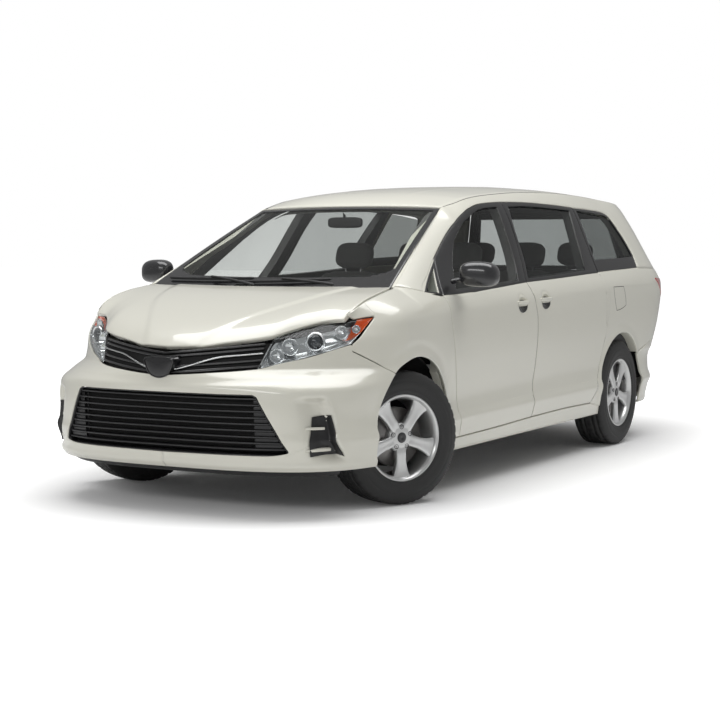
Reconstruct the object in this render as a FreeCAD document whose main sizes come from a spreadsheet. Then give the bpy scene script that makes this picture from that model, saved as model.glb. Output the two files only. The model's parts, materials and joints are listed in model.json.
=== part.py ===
import FreeCAD, Part
import Sketcher
import math
import os

# A seven-seat minivan at its real size, in millimetres: +X forward, +Y to the left, +Z up.
# The origin is on the ground, at mid-length, on the centre line.

Vector = FreeCAD.Vector
doc = FreeCAD.newDocument("minivan")

# Driving dimensions

SIZES = {
    "wheelbase": 3030,
    "front_overhang": 955,
    "rear_overhang": 1109,
    "body_width": 1985,
    "body_height": 1750,
    "track_width": 1720,
    "tyre_radius": 357,
    "tyre_width": 235,
    "tyre_wall": 127,
    "rim_lip": 15,
    "rim_barrel_wall": 8,
    "rim_spokes": 5,
    "spoke_thickness": 34,
    "spoke_set_in": 22,
    "hub_bore_radius": 30,
    "bearing_gap": 0.3,
    "brake_disc_radius": 158,
    "brake_disc_thickness": 26,
    "brake_disc_inset": 52,
    "kingpin_inset": 70,
    "steer_at_rest": 26,
    "front_arch_radius": 402,
    "rear_arch_radius": 390,
    "arch_rise": 20,
    "panel_gap": 6,
    "door_thickness": 62,
    "panel_thickness": 14,
    "glass_thickness": 6,
    "bumper_thickness": 22,
    "floor_thickness": 34,
    "floor_bottom": 262,
    "seat_gap": 0.3,
    "kingpin_to_upright": 62,
    "beam_radius": 34,
    "exhaust_radius": 28,
    "muffler_radius": 80,
    "steering_wheel_radius": 188,
    "steering_wheel_grip": 15,
    "steering_column_radius": 22,
    "front_seat_width": 520,
    "second_seat_width": 500,
    "third_seat_width": 1180,
}

sheet = doc.addObject("Spreadsheet::Sheet", "Sizes")
for row, (alias, number) in enumerate(SIZES.items(), start=1):
    sheet.set("A%d" % row, alias)
    sheet.set("B%d" % row, str(number))
    sheet.setAlias("B%d" % row, alias)
doc.recompute()


def size(alias):
    """The value of a driving dimension, read back from the sheet."""
    return float(sheet.get(alias))


# Stations: the body's features are drawn at these base proportions and follow the real sizes

BASE_FRONT_AXLE = 1592
BASE_REAR_AXLE = -1438
BASE_NOSE = 2547
BASE_HALF_WIDTH = 992.5
BASE_HEIGHT = 1750

length = size("front_overhang") + size("wheelbase") + size("rear_overhang")
front_axle_x = length / 2 - size("front_overhang")
rear_axle_x = front_axle_x - size("wheelbase")
wheel_y = size("track_width") / 2
wheel_z = size("tyre_radius")
gap = size("panel_gap")
seat_gap = size("seat_gap")


def at_x(x):
    """A base station along the van, moved with the axles and overhangs."""
    if x >= BASE_FRONT_AXLE:
        share = (x - BASE_FRONT_AXLE) / (BASE_NOSE - BASE_FRONT_AXLE)
        return front_axle_x + share * size("front_overhang")
    if x >= BASE_REAR_AXLE:
        share = (x - BASE_REAR_AXLE) / (BASE_FRONT_AXLE - BASE_REAR_AXLE)
        return rear_axle_x + share * size("wheelbase")
    share = (BASE_REAR_AXLE - x) / (BASE_REAR_AXLE + BASE_NOSE)
    return rear_axle_x - share * size("rear_overhang")


def at_y(y):
    """A base distance from the centre line, moved with the body width."""
    return y * size("body_width") / (2 * BASE_HALF_WIDTH)


def at_z(z):
    """A base height, moved with the body height."""
    return z * size("body_height") / BASE_HEIGHT


def place(x, y, z):
    return Vector(at_x(x), at_y(y), at_z(z))


def x_text(x):
    """Expression for a base station along the van, as at_x gives it."""
    middle = "(Sizes.wheelbase + Sizes.rear_overhang - Sizes.front_overhang) / 2"
    if x >= BASE_FRONT_AXLE:
        share = (x - BASE_FRONT_AXLE) / (BASE_NOSE - BASE_FRONT_AXLE)
        return "%s + %.9f * Sizes.front_overhang" % (middle, share)
    if x >= BASE_REAR_AXLE:
        share = (BASE_FRONT_AXLE - x) / (BASE_FRONT_AXLE - BASE_REAR_AXLE)
        return "%s - %.9f * Sizes.wheelbase" % (middle, share)
    share = (BASE_REAR_AXLE - x) / (BASE_REAR_AXLE + BASE_NOSE)
    return "%s - Sizes.wheelbase - %.9f * Sizes.rear_overhang" % (middle, share)


def y_text(y):
    """Expression for a base distance from the centre line."""
    return "%.9f * Sizes.body_width" % (y / (2 * BASE_HALF_WIDTH))


def z_text(z):
    """Expression for a base height."""
    return "%.9f * Sizes.body_height" % (z / BASE_HEIGHT)


def through(points, t):
    """A smooth curve through (t, value) points that never overshoots them."""
    if t <= points[0][0]:
        return points[0][1]
    if t >= points[-1][0]:
        return points[-1][1]
    k = 0
    while t > points[k + 1][0]:
        k += 1
    slopes = [(b[1] - a[1]) / (b[0] - a[0]) for a, b in zip(points, points[1:])]

    def tangent(j):
        if j == 0 or j == len(points) - 1:
            return slopes[min(j, len(slopes) - 1)]
        before, after = slopes[j - 1], slopes[j]
        if before * after <= 0:
            return 0
        return 2 * before * after / (before + after)

    (t0, v0), (t1, v1) = points[k], points[k + 1]
    span = t1 - t0
    s = (t - t0) / span
    rise = (3 - 2 * s) * s * s
    return (
        v0
        + (v1 - v0) * rise
        + tangent(k) * span * s * (1 - s) ** 2
        - tangent(k + 1) * span * s * s * (1 - s)
    )


# The body's outer surface

SHOULDER = [(-2547, 1105), (-1971, 1090), (-1098, 1061), (743, 1002), (1174, 980), (1600, 960), (2100, 925)]
SHOULDER_HALF_WIDTH = 988
SILL = 160
LOWER_PROFILE = [
    (0, 925), (0.08, 950), (0.16, 966), (0.23, 978), (0.3, 990), (0.355, 974),
    (0.44, 968), (0.56, 974), (0.73, 986), (0.9, 991.5), (1, SHOULDER_HALF_WIDTH),
]
BELT_RISE = 112
NOSE_START = 1700
NOSE_REACH = [
    (180, 700), (225, 770), (270, 795), (322, 810), (450, 835), (538, 845), (600, 847), (640, 845),
    (700, 833), (751, 818), (803, 800), (870, 770), (897, 748), (940, 655), (975, 581), (1001, 540),
    (1100, 500),
]
NOSE_SQUARENESS = [(322, 3.1), (450, 3), (640, 2.8), (700, 2.2), (751, 1.75), (803, 1.7)]
TAIL_START = -1750
TAIL_REACH = [
    (180, 700), (250, 745), (480, 797), (560, 797), (640, 770), (900, 755), (1100, 748), (1160, 735),
    (1400, 665), (1560, 610), (1690, 575),
]
TAIL_SQUARENESS = [(300, 2.5), (560, 2.6), (700, 3.5), (1000, 5)]


def shoulder_z(x):
    return through(SHOULDER, x)


def flat_hood_z(x):
    """The hood's middle height before it rolls over at its front edge."""
    back = x - 1500
    return 1142 - 0.1 * back - 0.000165 * back * back


HOOD_FRONT = [(0, 2456), (150, 2440), (300, 2385), (527, 2284), (620, 2160), (720, 2055), (800, 2027)]


HOOD_CREASE = [(1500, 640), (1900, 520), (2250, 350), (2456, 250)]
HOOD_DOME = 6


def hood_z(x, y):
    """Height of the hood: the flat profile with a raised middle, less a roll at the front edge."""
    ahead = max(through(HOOD_FRONT, abs(y)) - x, 0)
    share = min(max((through(HOOD_CREASE, x) - abs(y)) / 60 + 0.5, 0), 1)
    dome = HOOD_DOME * share * share * (3 - 2 * share)
    return flat_hood_z(x) + dome - 55 * math.exp(-ahead / 80)


ROOF_RIDGE = [
    (-2330, 1672), (-1900, 1718), (-1500, 1740), (-1100, 1750), (-768, 1749), (-400, 1739), (-55, 1719),
    (142, 1704), (307, 1684), (419, 1662), (520, 1634), (620, 1598),
]
REAR_EDGE_X = -2330
ROOF_HALF_WIDTH = 640
ROOF_CROWN = 45


def roof_z(x, y):
    """Height of the roof: its ridge line, less the crown towards the sides."""
    return through(ROOF_RIDGE, x) - ROOF_CROWN * (abs(y) / ROOF_HALF_WIDTH) ** 2.5


# Upper edge of the body side: roof joint, then the windshield's side, then the hood's side
EDGE_Y = [
    (-2330, 600), (-1900, 636), (400, 640), (587, 621), (1494, 786), (1710, 812), (1950, 810), (2027, 800),
]
WINDSHIELD_BASE_X = 1494
WINDSHIELD_TOP_X = 587
WINDSHIELD_BASE_Z = 1148
WINDSHIELD_TOP_Z = 1584


def edge_y(x):
    return through(EDGE_Y, x)


def edge_z(x):
    """Height of the body side's upper edge."""
    if x < 400:
        return roof_z(x, edge_y(x))
    if x < WINDSHIELD_TOP_X:
        share = (x - 400) / (WINDSHIELD_TOP_X - 400)
        return (1 - share) * roof_z(400, edge_y(400)) + share * WINDSHIELD_TOP_Z
    if x < WINDSHIELD_BASE_X:
        share = (x - WINDSHIELD_TOP_X) / (WINDSHIELD_BASE_X - WINDSHIELD_TOP_X)
        return (1 - share) * WINDSHIELD_TOP_Z + share * WINDSHIELD_BASE_Z
    return hood_z(x, edge_y(x))


def end_taper(x, z):
    """How far the plan curve of the nose or tail has drawn in the side, 1 at mid-body."""
    if x > NOSE_START:
        part = (x - NOSE_START) / through(NOSE_REACH, z)
        power = through(NOSE_SQUARENESS, z)
    elif x < TAIL_START:
        part = (TAIL_START - x) / through(TAIL_REACH, z)
        power = through(TAIL_SQUARENESS, z)
    else:
        return 1
    return max(1 - part**power, 0) ** (1 / power)


def greenhouse(r):
    """Share of the way in from the belt to the roof edge at a share r of the height."""
    return 0.85 * r + 0.15 * r**8


def side_profile(x, z):
    """Half width at base station x and height z, before the ends draw in."""
    crease = shoulder_z(x)
    if z <= crease:
        return through(LOWER_PROFILE, (z - SILL) / (crease - SILL))
    top = edge_z(x)
    rise = top - crease
    narrow = end_taper(x, top)
    edge = edge_y(x) / max(narrow, 0.3) if x > NOSE_START else edge_y(x)
    if x < WINDSHIELD_BASE_X:
        forward = min(max((x - 1000) / 494, 0), 1)
        belt_s = BELT_RISE
        belt_y = 938 - 18.5 * forward
        power = 1.6 + 0.6 * forward
    else:
        belt_s = 0.612 * rise
        belt_y = SHOULDER_HALF_WIDTH - 0.339 * (SHOULDER_HALF_WIDTH - edge)
        power = 2.2
    s = z - crease
    if s <= belt_s:
        return SHOULDER_HALF_WIDTH - (SHOULDER_HALF_WIDTH - belt_y) * (s / belt_s) ** power
    r = min((s - belt_s) / max(rise - belt_s, 1), 1)
    return belt_y + (edge - belt_y) * greenhouse(r)


def side_y(x, z):
    return side_profile(x, z) * end_taper(x, z)


def end_point(start, sign, reach, power, half_width, angle):
    """Point of a nose or tail plan curve, seen at an angle from its centre at the start station."""
    c = max(math.cos(angle), 1e-9)
    s = abs(math.sin(angle))
    r = ((c / reach) ** power + (s / half_width) ** power) ** (-1 / power)
    return start + sign * r * c, r * math.sin(angle)


def nose_point(angle, z, inset=0):
    reach = through(NOSE_REACH, z) - inset
    width = side_profile(NOSE_START, min(z, 1060)) - inset
    return end_point(NOSE_START, 1, reach, through(NOSE_SQUARENESS, z), width, angle)


def tail_point(angle, z, inset=0):
    reach = through(TAIL_REACH, z) - inset
    width = side_profile(TAIL_START, z) - inset
    return end_point(TAIL_START, -1, reach, through(TAIL_SQUARENESS, z), width, angle)


# Helpers that turn the surface into solids


LINE_STEP = 70


def steps(first, last, count):
    return [first + (last - first) * k / (count - 1) for k in range(count)]


def surface_face(rows):
    surface = Part.BSplineSurface()
    surface.interpolate(rows)
    return surface.toShape()


def side_patch(x_list, depth, inset=0):
    """A thick left-hand patch of the body side, between the stations of x_list."""
    rows = [[place(x, side_y(x, z) - inset, z) for z in side_heights(x)] for x in x_list]
    return surface_face(rows).extrude(Vector(0, -depth, 0))


def ruled_solid(outer_rows, inner_rows):
    """A thick skin between two grids of points, closed by ruled edges."""
    skins = []
    for rows in (outer_rows, inner_rows):
        surface = Part.BSplineSurface()
        surface.interpolate(rows)
        skins.append(surface)
    outer, inner = skins
    u0, u1, v0, v1 = outer.bounds()
    faces = [outer.toShape(), inner.toShape()]
    for border in (lambda s: s.uIso(u0), lambda s: s.uIso(u1), lambda s: s.vIso(v0), lambda s: s.vIso(v1)):
        faces.append(Part.makeRuledSurface(border(outer).toShape(), border(inner).toShape()))
    shell = Part.Shell(faces)
    shell.sewShape()
    solid = Part.Solid(shell)
    if solid.Volume < 0:
        solid = Part.Solid(shell.reversed())
    return solid


def side_heights(x):
    """Heights of the surface's rows at a station: below the crease, to the belt, to the upper edge."""
    crease = shoulder_z(x)
    top = edge_z(x)
    belt_s = BELT_RISE if x < WINDSHIELD_BASE_X else 0.612 * (top - crease)
    belt = crease + belt_s
    heights = [SILL + (crease - SILL) * q for q in steps(0, 1, 19)]
    heights += [crease + belt_s * q for q in (0.33, 0.66, 1)]
    return heights + [belt + (top - belt) * q for q in (0.25, 0.5, 0.7, 0.82, 0.91, 1)]


def wrapped_side(x_list, angles, depth, inset=0):
    """A thick patch of the left side that goes on round the rear corner, in one skin."""
    grids = []
    for inward in (inset, inset + depth):
        rows = []
        for angle in angles:
            heights = side_heights(max(tail_point(math.radians(angle), 1000)[0], REAR_EDGE_X))
            row = []
            for z in heights:
                x, y = tail_point(math.radians(angle), z, inward)
                row.append(place(x, y, z))
            rows.append(row)
        for x in x_list:
            rows.append([place(x, side_y(x, z) - inward, z) for z in side_heights(x)])
        grids.append(rows)
    return ruled_solid(*grids)


def end_shell(point, levels, thickness, angles):
    """A wrapped shell of the nose or tail through plan curves at the given heights."""
    grids = []
    for inset in (0, thickness):
        rows = []
        for z in levels:
            plan = [point(math.radians(angle), z, inset) for angle in angles]
            rows.append([place(x, y, z) for x, y in plan])
        grids.append(rows)
    return ruled_solid(*grids)


def outline_xz(points, y_from, y_to):
    """A prism across the van with an outline of base (x, z) points."""
    corners = [Vector(at_x(x), at_y(y_from), at_z(z)) for x, z in points]
    return prism(corners, Vector(0, at_y(y_to) - at_y(y_from), 0))


def drawn(segments):
    """Closely spaced points along joined segments, each a smooth curve through its own points."""
    rows = []
    for segment in segments:
        chord = [0]
        for (ax, az), (bx, bz) in zip(segment, segment[1:]):
            chord.append(chord[-1] + math.hypot(bx - ax, bz - az))
        if len(segment) > 2:
            xs = list(zip(chord, [x for x, z in segment]))
            zs = list(zip(chord, [z for x, z in segment]))
            stops = steps(0, chord[-1], max(int(chord[-1] / LINE_STEP), 4) + 1)
            rows.append([(through(xs, t), through(zs, t)) for t in stops])
        else:
            rows.append(list(segment))
    return rows


def side_prism(segments, by=0, y_from=300, y_to=1300):
    """A prism across the van from a closed line of smooth segments, moved outwards by a distance."""
    rows = drawn(segments)
    loop = [point for row in rows for point in row[:-1]]
    moved = grown(loop, by) if by else loop
    edges = []
    start = 0
    for row in rows:
        stretch = [moved[(start + k) % len(moved)] for k in range(len(row))]
        start += len(row) - 1
        points = [Vector(at_x(x), at_y(y_from), at_z(z)) for x, z in stretch]
        if len(points) == 2:
            edges.append(Part.LineSegment(*points).toShape())
        else:
            curve = Part.BSplineCurve()
            curve.interpolate(points)
            edges.append(curve.toShape())
    return Part.Face(Part.Wire(edges)).extrude(Vector(0, at_y(y_to) - at_y(y_from), 0))


def outline_yz(points, x_from, x_to):
    """A prism along the van with an outline of base (y, z) points."""
    corners = [Vector(at_x(x_from), at_y(y), at_z(z)) for y, z in points]
    return prism(corners, Vector(at_x(x_to) - at_x(x_from), 0, 0))


def outline_xy(points, z_from, z_to):
    """A vertical prism with a plan outline of base (x, y) points."""
    corners = [Vector(at_x(x), at_y(y), at_z(z_from)) for x, y in points]
    return prism(corners, Vector(0, 0, at_z(z_to) - at_z(z_from)))


def prism(corners, along):
    wire = Part.makePolygon(corners + [corners[0]])
    return Part.Face(wire).extrude(along)


def rounded(points, radius):
    """The polygon with each corner replaced by an arc of about the given radius."""
    result = []
    count = len(points)
    for k in range(count):
        (ax, az), (bx, bz), (cx, cz) = points[k - 1], points[k], points[(k + 1) % count]
        before = math.hypot(ax - bx, az - bz)
        after = math.hypot(cx - bx, cz - bz)
        cut = min(radius, 0.45 * before, 0.45 * after)
        p0 = (bx + (ax - bx) * cut / before, bz + (az - bz) * cut / before)
        p2 = (bx + (cx - bx) * cut / after, bz + (cz - bz) * cut / after)
        for t in steps(0, 1, 5):
            x = (1 - t) ** 2 * p0[0] + 2 * t * (1 - t) * bx + t * t * p2[0]
            z = (1 - t) ** 2 * p0[1] + 2 * t * (1 - t) * bz + t * t * p2[1]
            result.append((x, z))
    return result


def grown(points, by):
    """The closed outline moved outwards by a distance, or inwards if it is negative."""
    count = len(points)
    area = sum(points[k - 1][0] * points[k][1] - points[k][0] * points[k - 1][1] for k in range(count))
    turn = 1 if area > 0 else -1
    result = []
    for k in range(count):
        (ax, az), (bx, bz), (cx, cz) = points[k - 1], points[k], points[(k + 1) % count]
        n1 = (turn * (bz - az), -turn * (bx - ax))
        n2 = (turn * (cz - bz), -turn * (cx - bx))
        l1 = math.hypot(*n1)
        l2 = math.hypot(*n2)
        n1 = (n1[0] / l1, n1[1] / l1)
        n2 = (n2[0] / l2, n2[1] / l2)
        scale = by / max(1 + n1[0] * n2[0] + n1[1] * n2[1], 0.35)
        result.append((bx + (n1[0] + n2[0]) * scale, bz + (n1[1] + n2[1]) * scale))
    return result


def across_cylinder(x, z, radius, y_from, y_to):
    return Part.makeCylinder(radius, y_to - y_from, Vector(x, y_from, z), Vector(0, 1, 0))


def mirrored(shape):
    return shape.mirror(Vector(0, 0, 0), Vector(0, 1, 0))


def box(x0, x1, y0, y1, z0, z1):
    """A block between base stations."""
    low = place(x0, y0, z0)
    high = place(x1, y1, z1)
    return Part.makeBox(high.x - low.x, high.y - low.y, high.z - low.z, low)


def soft_block(x0, x1, y0, y1, z0, z1, radius):
    """A block with all its edges rounded."""
    block = box(x0, x1, y0, y1, z0, z1)
    return block.makeFillet(radius, block.Edges)


def one_solid(shape):
    """The largest solid of a cut, without the slivers beside it."""
    return max(shape.Solids, key=lambda solid: solid.Volume)



nodes = []


def add_piece(name, shape):
    """A sub-part whose shape is worked out here from the sheet's sizes."""
    piece = doc.addObject("Part::Feature", name)
    piece.Label = name
    piece.Shape = shape
    nodes.append(piece)
    return piece


# Objects whose sizes and places are bound to the sheet


def number(text):
    """The value of an expression over the sheet."""
    return float(sheet.evalExpression(text))


def bind(thing, **texts):
    for key, text in texts.items():
        thing.setExpression(key, text)
    return thing


def seat_at(thing, x, y, z, rotation=None):
    """Place an object at three expressions, with a fixed rotation."""
    if rotation:
        thing.Placement = FreeCAD.Placement(Vector(0, 0, 0), rotation)
    for axis, text in (("x", x), ("y", y), ("z", z)):
        thing.setExpression("Placement.Base." + axis, text)
    return thing


def block(name, xs, ys, zs):
    """A box between pairs of expressions along each axis."""
    piece = doc.addObject("Part::Box", name)
    for side, (low, high) in (("Length", xs), ("Width", ys), ("Height", zs)):
        piece.setExpression(side, "(%s) - (%s)" % (high, low))
    return seat_at(piece, xs[0], ys[0], zs[0])


def station_block(name, x0, x1, y0, y1, z0, z1):
    """A box between base stations."""
    return block(name, (x_text(x0), x_text(x1)), (y_text(y0), y_text(y1)), (z_text(z0), z_text(z1)))


ALONG_Y = FreeCAD.Rotation(Vector(1, 0, 0), -90)
ALONG_X = FreeCAD.Rotation(Vector(0, 1, 0), 90)


def rod(name, radius, length_text, x, y, z, rotation=None):
    """A cylinder of bound radius and length from a bound place."""
    piece = bind(doc.addObject("Part::Cylinder", name), Radius=radius, Height=length_text)
    return seat_at(piece, x, y, z, rotation)


def mirror_of(thing, name):
    """The same object on the other side of the van."""
    twin = doc.addObject("Part::Mirroring", name)
    twin.Source = thing
    twin.Normal = (0, 1, 0)
    return twin


def fused(name, parts):
    """One sub-part fused from several objects."""
    piece = doc.addObject("Part::MultiFuse", name)
    piece.Label = name
    piece.Shapes = parts
    piece.Refine = True
    return piece


def softened(name, source, radius):
    """A fillet round every edge of an object."""
    doc.recompute()
    piece = doc.addObject("Part::Fillet", name)
    piece.Base = source
    piece.Edges = [(k + 1, radius, radius) for k in range(len(source.Shape.Edges))]
    return piece


def keep(piece, name=None):
    if name:
        piece.Label = name
    nodes.append(piece)
    return piece


def sketch_on(body, name, role, corners):
    """A closed sketch of straight lines on an origin plane, each corner held at a pair of expressions."""
    sketch = body.newObject("Sketcher::SketchObject", name)
    plane = [feature for feature in body.Origin.OriginFeatures if feature.Role == role][0]
    sketch.AttachmentSupport = [(plane, "")]
    sketch.MapMode = "FlatFace"
    points = [Vector(number(a), number(b), 0) for a, b in corners]
    count = len(points)
    sketch.addGeometry([Part.LineSegment(points[k], points[(k + 1) % count]) for k in range(count)], False)
    rules = [Sketcher.Constraint("Coincident", k, 2, (k + 1) % count, 1) for k in range(count)]
    for k, point in enumerate(points):
        rules.append(Sketcher.Constraint("DistanceX", -1, 1, k, 1, point.x))
        rules.append(Sketcher.Constraint("DistanceY", -1, 1, k, 1, point.y))
    sketch.addConstraint(rules)
    for k, (a, b) in enumerate(corners):
        sketch.setExpression("Constraints[%d]" % (count + 2 * k), a)
        sketch.setExpression("Constraints[%d]" % (count + 2 * k + 1), b)
    return sketch


def turned(body, name, corners):
    """A revolution about the body's Y axis of an (r, y) outline."""
    sketch = sketch_on(body, name + "Outline", "XY_Plane", corners)
    ring = body.newObject("PartDesign::Revolution", name)
    ring.Profile = sketch
    ring.ReferenceAxis = (sketch, ["V_Axis"])
    ring.Angle = 360
    return ring


# Wheel arches, cut through whatever lies round a wheel
front_arch = across_cylinder(
    front_axle_x, wheel_z + size("arch_rise"), size("front_arch_radius"), 500, 1200
)
rear_arch = across_cylinder(
    rear_axle_x, wheel_z + size("arch_rise"), size("rear_arch_radius"), 600, 1200
)

# Lines drawn on the side, in base (x, z): each gap between panels is one line that both panels share

WINDOW_FRONT = [(1015, 1290), (937, 1328), (629, 1480), (480, 1545), (380, 1580), (213, 1612), (-1, 1626), (-85, 1629)]
WINDOW_CENTRE = [(-85, 1629), (-372, 1633), (-860, 1624), (-1158, 1612)]
DOOR_EDGE = [(1057, 303), (1082, 450), (1105, 600), (1148, 778), (1186, 911), (1200, 985), (1186, 1089)]
DOOR_CORNER = [(1186, 1089), (1120, 1170), (1050, 1250), (1015, 1290)]
CENTRE_GAP = [(75, 1143), (58, 1050), (22, 928), (12, 823), (18, 660), (50, 510), (68, 325)]
CENTRE_PILLAR = [(-85, 1629), (-45, 1440), (18, 1274), (75, 1143)]
REAR_PILLAR = [(-1158, 1612), (-1120, 1404), (-1095, 1180)]
REAR_GAP = [
    (-1095, 1180), (-1160, 1098), (-1190, 1025), (-1172, 906), (-1114, 724), (-1062, 590), (-1000, 470),
    (-940, 380), (-880, 330),
]
FRONT_FOOT = [(68, 325), (560, 311), (1057, 303)]
REAR_FOOT = [(-880, 330), (-500, 333), (68, 325)]
FRONT_DOOR = [DOOR_EDGE, DOOR_CORNER, WINDOW_FRONT, CENTRE_PILLAR, CENTRE_GAP, FRONT_FOOT]
SLIDING_DOOR = [CENTRE_GAP[::-1], CENTRE_PILLAR[::-1], WINDOW_CENTRE, REAR_PILLAR, REAR_GAP, REAR_FOOT]
FRONT_GLASS = [
    [(1010, 1114), (851, 1271), (700, 1395)], [(700, 1395), (480, 1510), (213, 1585), (8, 1598)],
    [(8, 1598), (106, 1275), (175, 1150)], [(175, 1150), (600, 1130), (1010, 1114)],
]
SLIDING_GLASS = [
    [(30, 1163), (-30, 1274), (-85, 1470), (-150, 1602)], [(-150, 1602), (-372, 1609), (-860, 1600), (-1085, 1592)],
    [(-1085, 1592), (-1002, 1427), (-914, 1199)], [(-914, 1199), (-445, 1178), (30, 1163)],
]
REAR_QUARTER_GLASS = [
    [(-1118, 1202), (-1163, 1404), (-1205, 1592)],
    [(-1205, 1592), (-1430, 1583), (-1640, 1571), (-1740, 1550), (-1800, 1480), (-1845, 1391), (-1862, 1300), (-1830, 1222)],
    [(-1830, 1222), (-1634, 1214), (-1118, 1202)],
]
FRONT_QUARTER_GLASS = [
    [(1312, 1117), (1205, 1106)], [(1205, 1106), (1085, 1236)], [(1085, 1236), (1172, 1192)], [(1172, 1192), (1312, 1117)],
]
SKIRT_BOTTOM = 231

# Shells of nose and tail, shared by the panels that are cut from them

ALL_ROUND = steps(-90, 90, 37)
NOSE_LEVELS = [200, 225, 270, 322, 380, 450, 538, 600, 640, 700, 751, 803, 870, 897, 940, 975, 1001]
TAIL_LEVELS = [540, 620, 700, 800, 900, 1000, 1060, 1100, 1160, 1250, 1350, 1450, 1540, 1600, 1640]
BUMPER_LEVELS = [215, 250, 330, 400, 480, 560, 640, 720]
tail_shell = end_shell(tail_point, TAIL_LEVELS, size("door_thickness"), ALL_ROUND)
nose_shell = end_shell(nose_point, NOSE_LEVELS, size("bumper_thickness"), ALL_ROUND)

# Roof panel, from the windshield's top edge to the liftgate's two hinge tabs
GATE_GAP_X = -2180
HEADER_BOW = 33


def roof_rows(x_rear, x_front, bow, count, reach=1, lift=0):
    """Points of the roof between two stations, its front edge bowed forward at the middle."""
    rows = []
    for x in steps(x_rear, x_front, count):
        forward = (x - x_rear) / (x_front - x_rear)
        row = []
        for share in steps(-reach, reach, 17):
            station = x + bow * forward**4 * (1 - share * share)
            drop = through(ROOF_RIDGE, x) - edge_z(x)
            z = through(ROOF_RIDGE, station) - drop * abs(share) ** 2.5 + lift
            row.append(place(station, share * edge_y(x), z))
        rows.append(row)
    return rows


roof_face = surface_face(roof_rows(GATE_GAP_X + seat_gap, WINDSHIELD_TOP_X, HEADER_BOW, 22, 0.99))
roof = roof_face.extrude(Vector(0, 0, -size("panel_thickness")))
HINGE_TABS = [(-700, -380), (-300, 300), (380, 700)]
for y0, y1 in HINGE_TABS:
    roof = roof.cut(box(GATE_GAP_X - 20, GATE_GAP_X + gap, y0, y1, 1500, 1800))
roof_seat = surface_face(roof_rows(REAR_EDGE_X, WINDSHIELD_TOP_X, HEADER_BOW, 22, 0.993, 20))
roof_seat = roof_seat.extrude(Vector(0, 0, -20 - seat_gap - size("panel_thickness")))
add_piece("roof_panel", one_solid(roof))

# Windshield, bowed forward at its middle, and its seat in the body
WINDSHIELD_BASE_BOW = 76
WINDSHIELD_BULGE = 14


def windshield_point(u, v, inset=0):
    """Glass point at share u across (-1 to 1) and v up (0 to 1)."""
    base = (WINDSHIELD_BASE_X + WINDSHIELD_BASE_BOW * (1 - u * u), 786 * u, WINDSHIELD_BASE_Z - 22 * (1 - u * u))
    top = (WINDSHIELD_TOP_X + HEADER_BOW * (1 - u * u), 621 * u, WINDSHIELD_TOP_Z + 14 * (1 - u * u))
    bulge = WINDSHIELD_BULGE * 4 * v * (1 - v) * (1 - 0.5 * u * u) - inset
    x, y, z = ((1 - v) * base[k] + v * top[k] for k in range(3))
    return place(x + 0.43 * bulge, y, z + 0.9 * bulge)


def windshield_slab(u_list, v_list, inset, thickness):
    rows = [[windshield_point(u, v, inset) for u in u_list] for v in v_list]
    return surface_face(rows).extrude(Vector(-0.43 * thickness, 0, -0.9 * thickness))


windshield = windshield_slab(steps(-0.985, 0.985, 15), steps(0.015, 0.985, 7), 2, size("glass_thickness"))
add_piece("windshield", windshield)
glass_seat = windshield_slab(steps(-0.99, 0.99, 15), steps(-0.08, 1, 7), -25, 33.3)

# Body sides: pillars, roof rail, sill and quarter panel in one pressing
LAMP_SIDE = [(-2085, 1128), (-2300, 985), (-2600, 950), (-2600, 1122)]
GATE_OUTLINE = [(700, 706), (715, 1100), (690, 1180), (590, 1560), (556, 1700), (-556, 1700)]
GATE_OUTLINE += [(-590, 1560), (-690, 1180), (-715, 1100), (-700, 706)]
BUMPER_SIDE = [(-1650, 190), (-1650, 600), (-1860, 640), (-2150, 700), (-2600, 700), (-2600, 190)]
SEAM = 0.5

skin_x = steps(TAIL_START, WINDSHIELD_BASE_X, 30)
corner_angles = [28, 34, 40, 46, 52, 58, 64, 70, 76, 83]
gate_cut = outline_yz(grown(GATE_OUTLINE, gap), -2700, -1800)
body_side = wrapped_side(skin_x, corner_angles, size("door_thickness"))
tail_lamp = body_side.common(outline_xz(LAMP_SIDE, 300, 1300)).cut(gate_cut)
side_region = outline_xz([
    (-2700, 250), (1200, SKIRT_BOTTOM), (1200, 291.5), (1040, 291.5), (1120, 1100), (1500, 1100), (1500, 1800),
    (-2700, 1800),
], 300, 1300)
door_hole = side_prism(FRONT_DOOR, gap / 2)
for cutter in (
    glass_seat,
    roof_seat,
    gate_cut,
    outline_xz(grown(BUMPER_SIDE, SEAM), 300, 1300),
    outline_xz(grown(LAMP_SIDE, seat_gap), 300, 1300),
    door_hole,
    side_prism(SLIDING_DOOR, gap / 2),
    side_prism(FRONT_QUARTER_GLASS),
    side_prism(REAR_QUARTER_GLASS),
    front_arch,
    rear_arch,
):
    body_side = body_side.cut(cutter)
body_side = one_solid(body_side.common(side_region))

# The hinge pillar behind the fender, with the two hinge leaves that carry the front door
hinge_pillar = side_patch(steps(1030, 1330, 6), size("door_thickness") - 20, size("panel_thickness") + seat_gap)
hinge_pillar = hinge_pillar.common(outline_xz([(1030, 291), (1330, 291), (1330, 1100.5), (1030, 1100.5)], 300, 1300))
door_seat = side_prism(FRONT_DOOR, seat_gap - gap / 2)
LEAF_OUTER_Y = 943
leaf_hole = door_hole.cut(outline_xz([(900, 390), (1330, 390), (1330, 450), (900, 450)], 300, LEAF_OUTER_Y))
leaf_hole = leaf_hole.cut(outline_xz([(900, 850), (1330, 850), (1330, 930), (900, 930)], 300, LEAF_OUTER_Y))
hinge_pillar = one_solid(hinge_pillar.cut(leaf_hole).cut(door_seat).cut(front_arch))
body_side = one_solid(body_side.fuse(hinge_pillar))
add_piece("body_side_left", body_side)
add_piece("body_side_right", mirrored(body_side))

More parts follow.
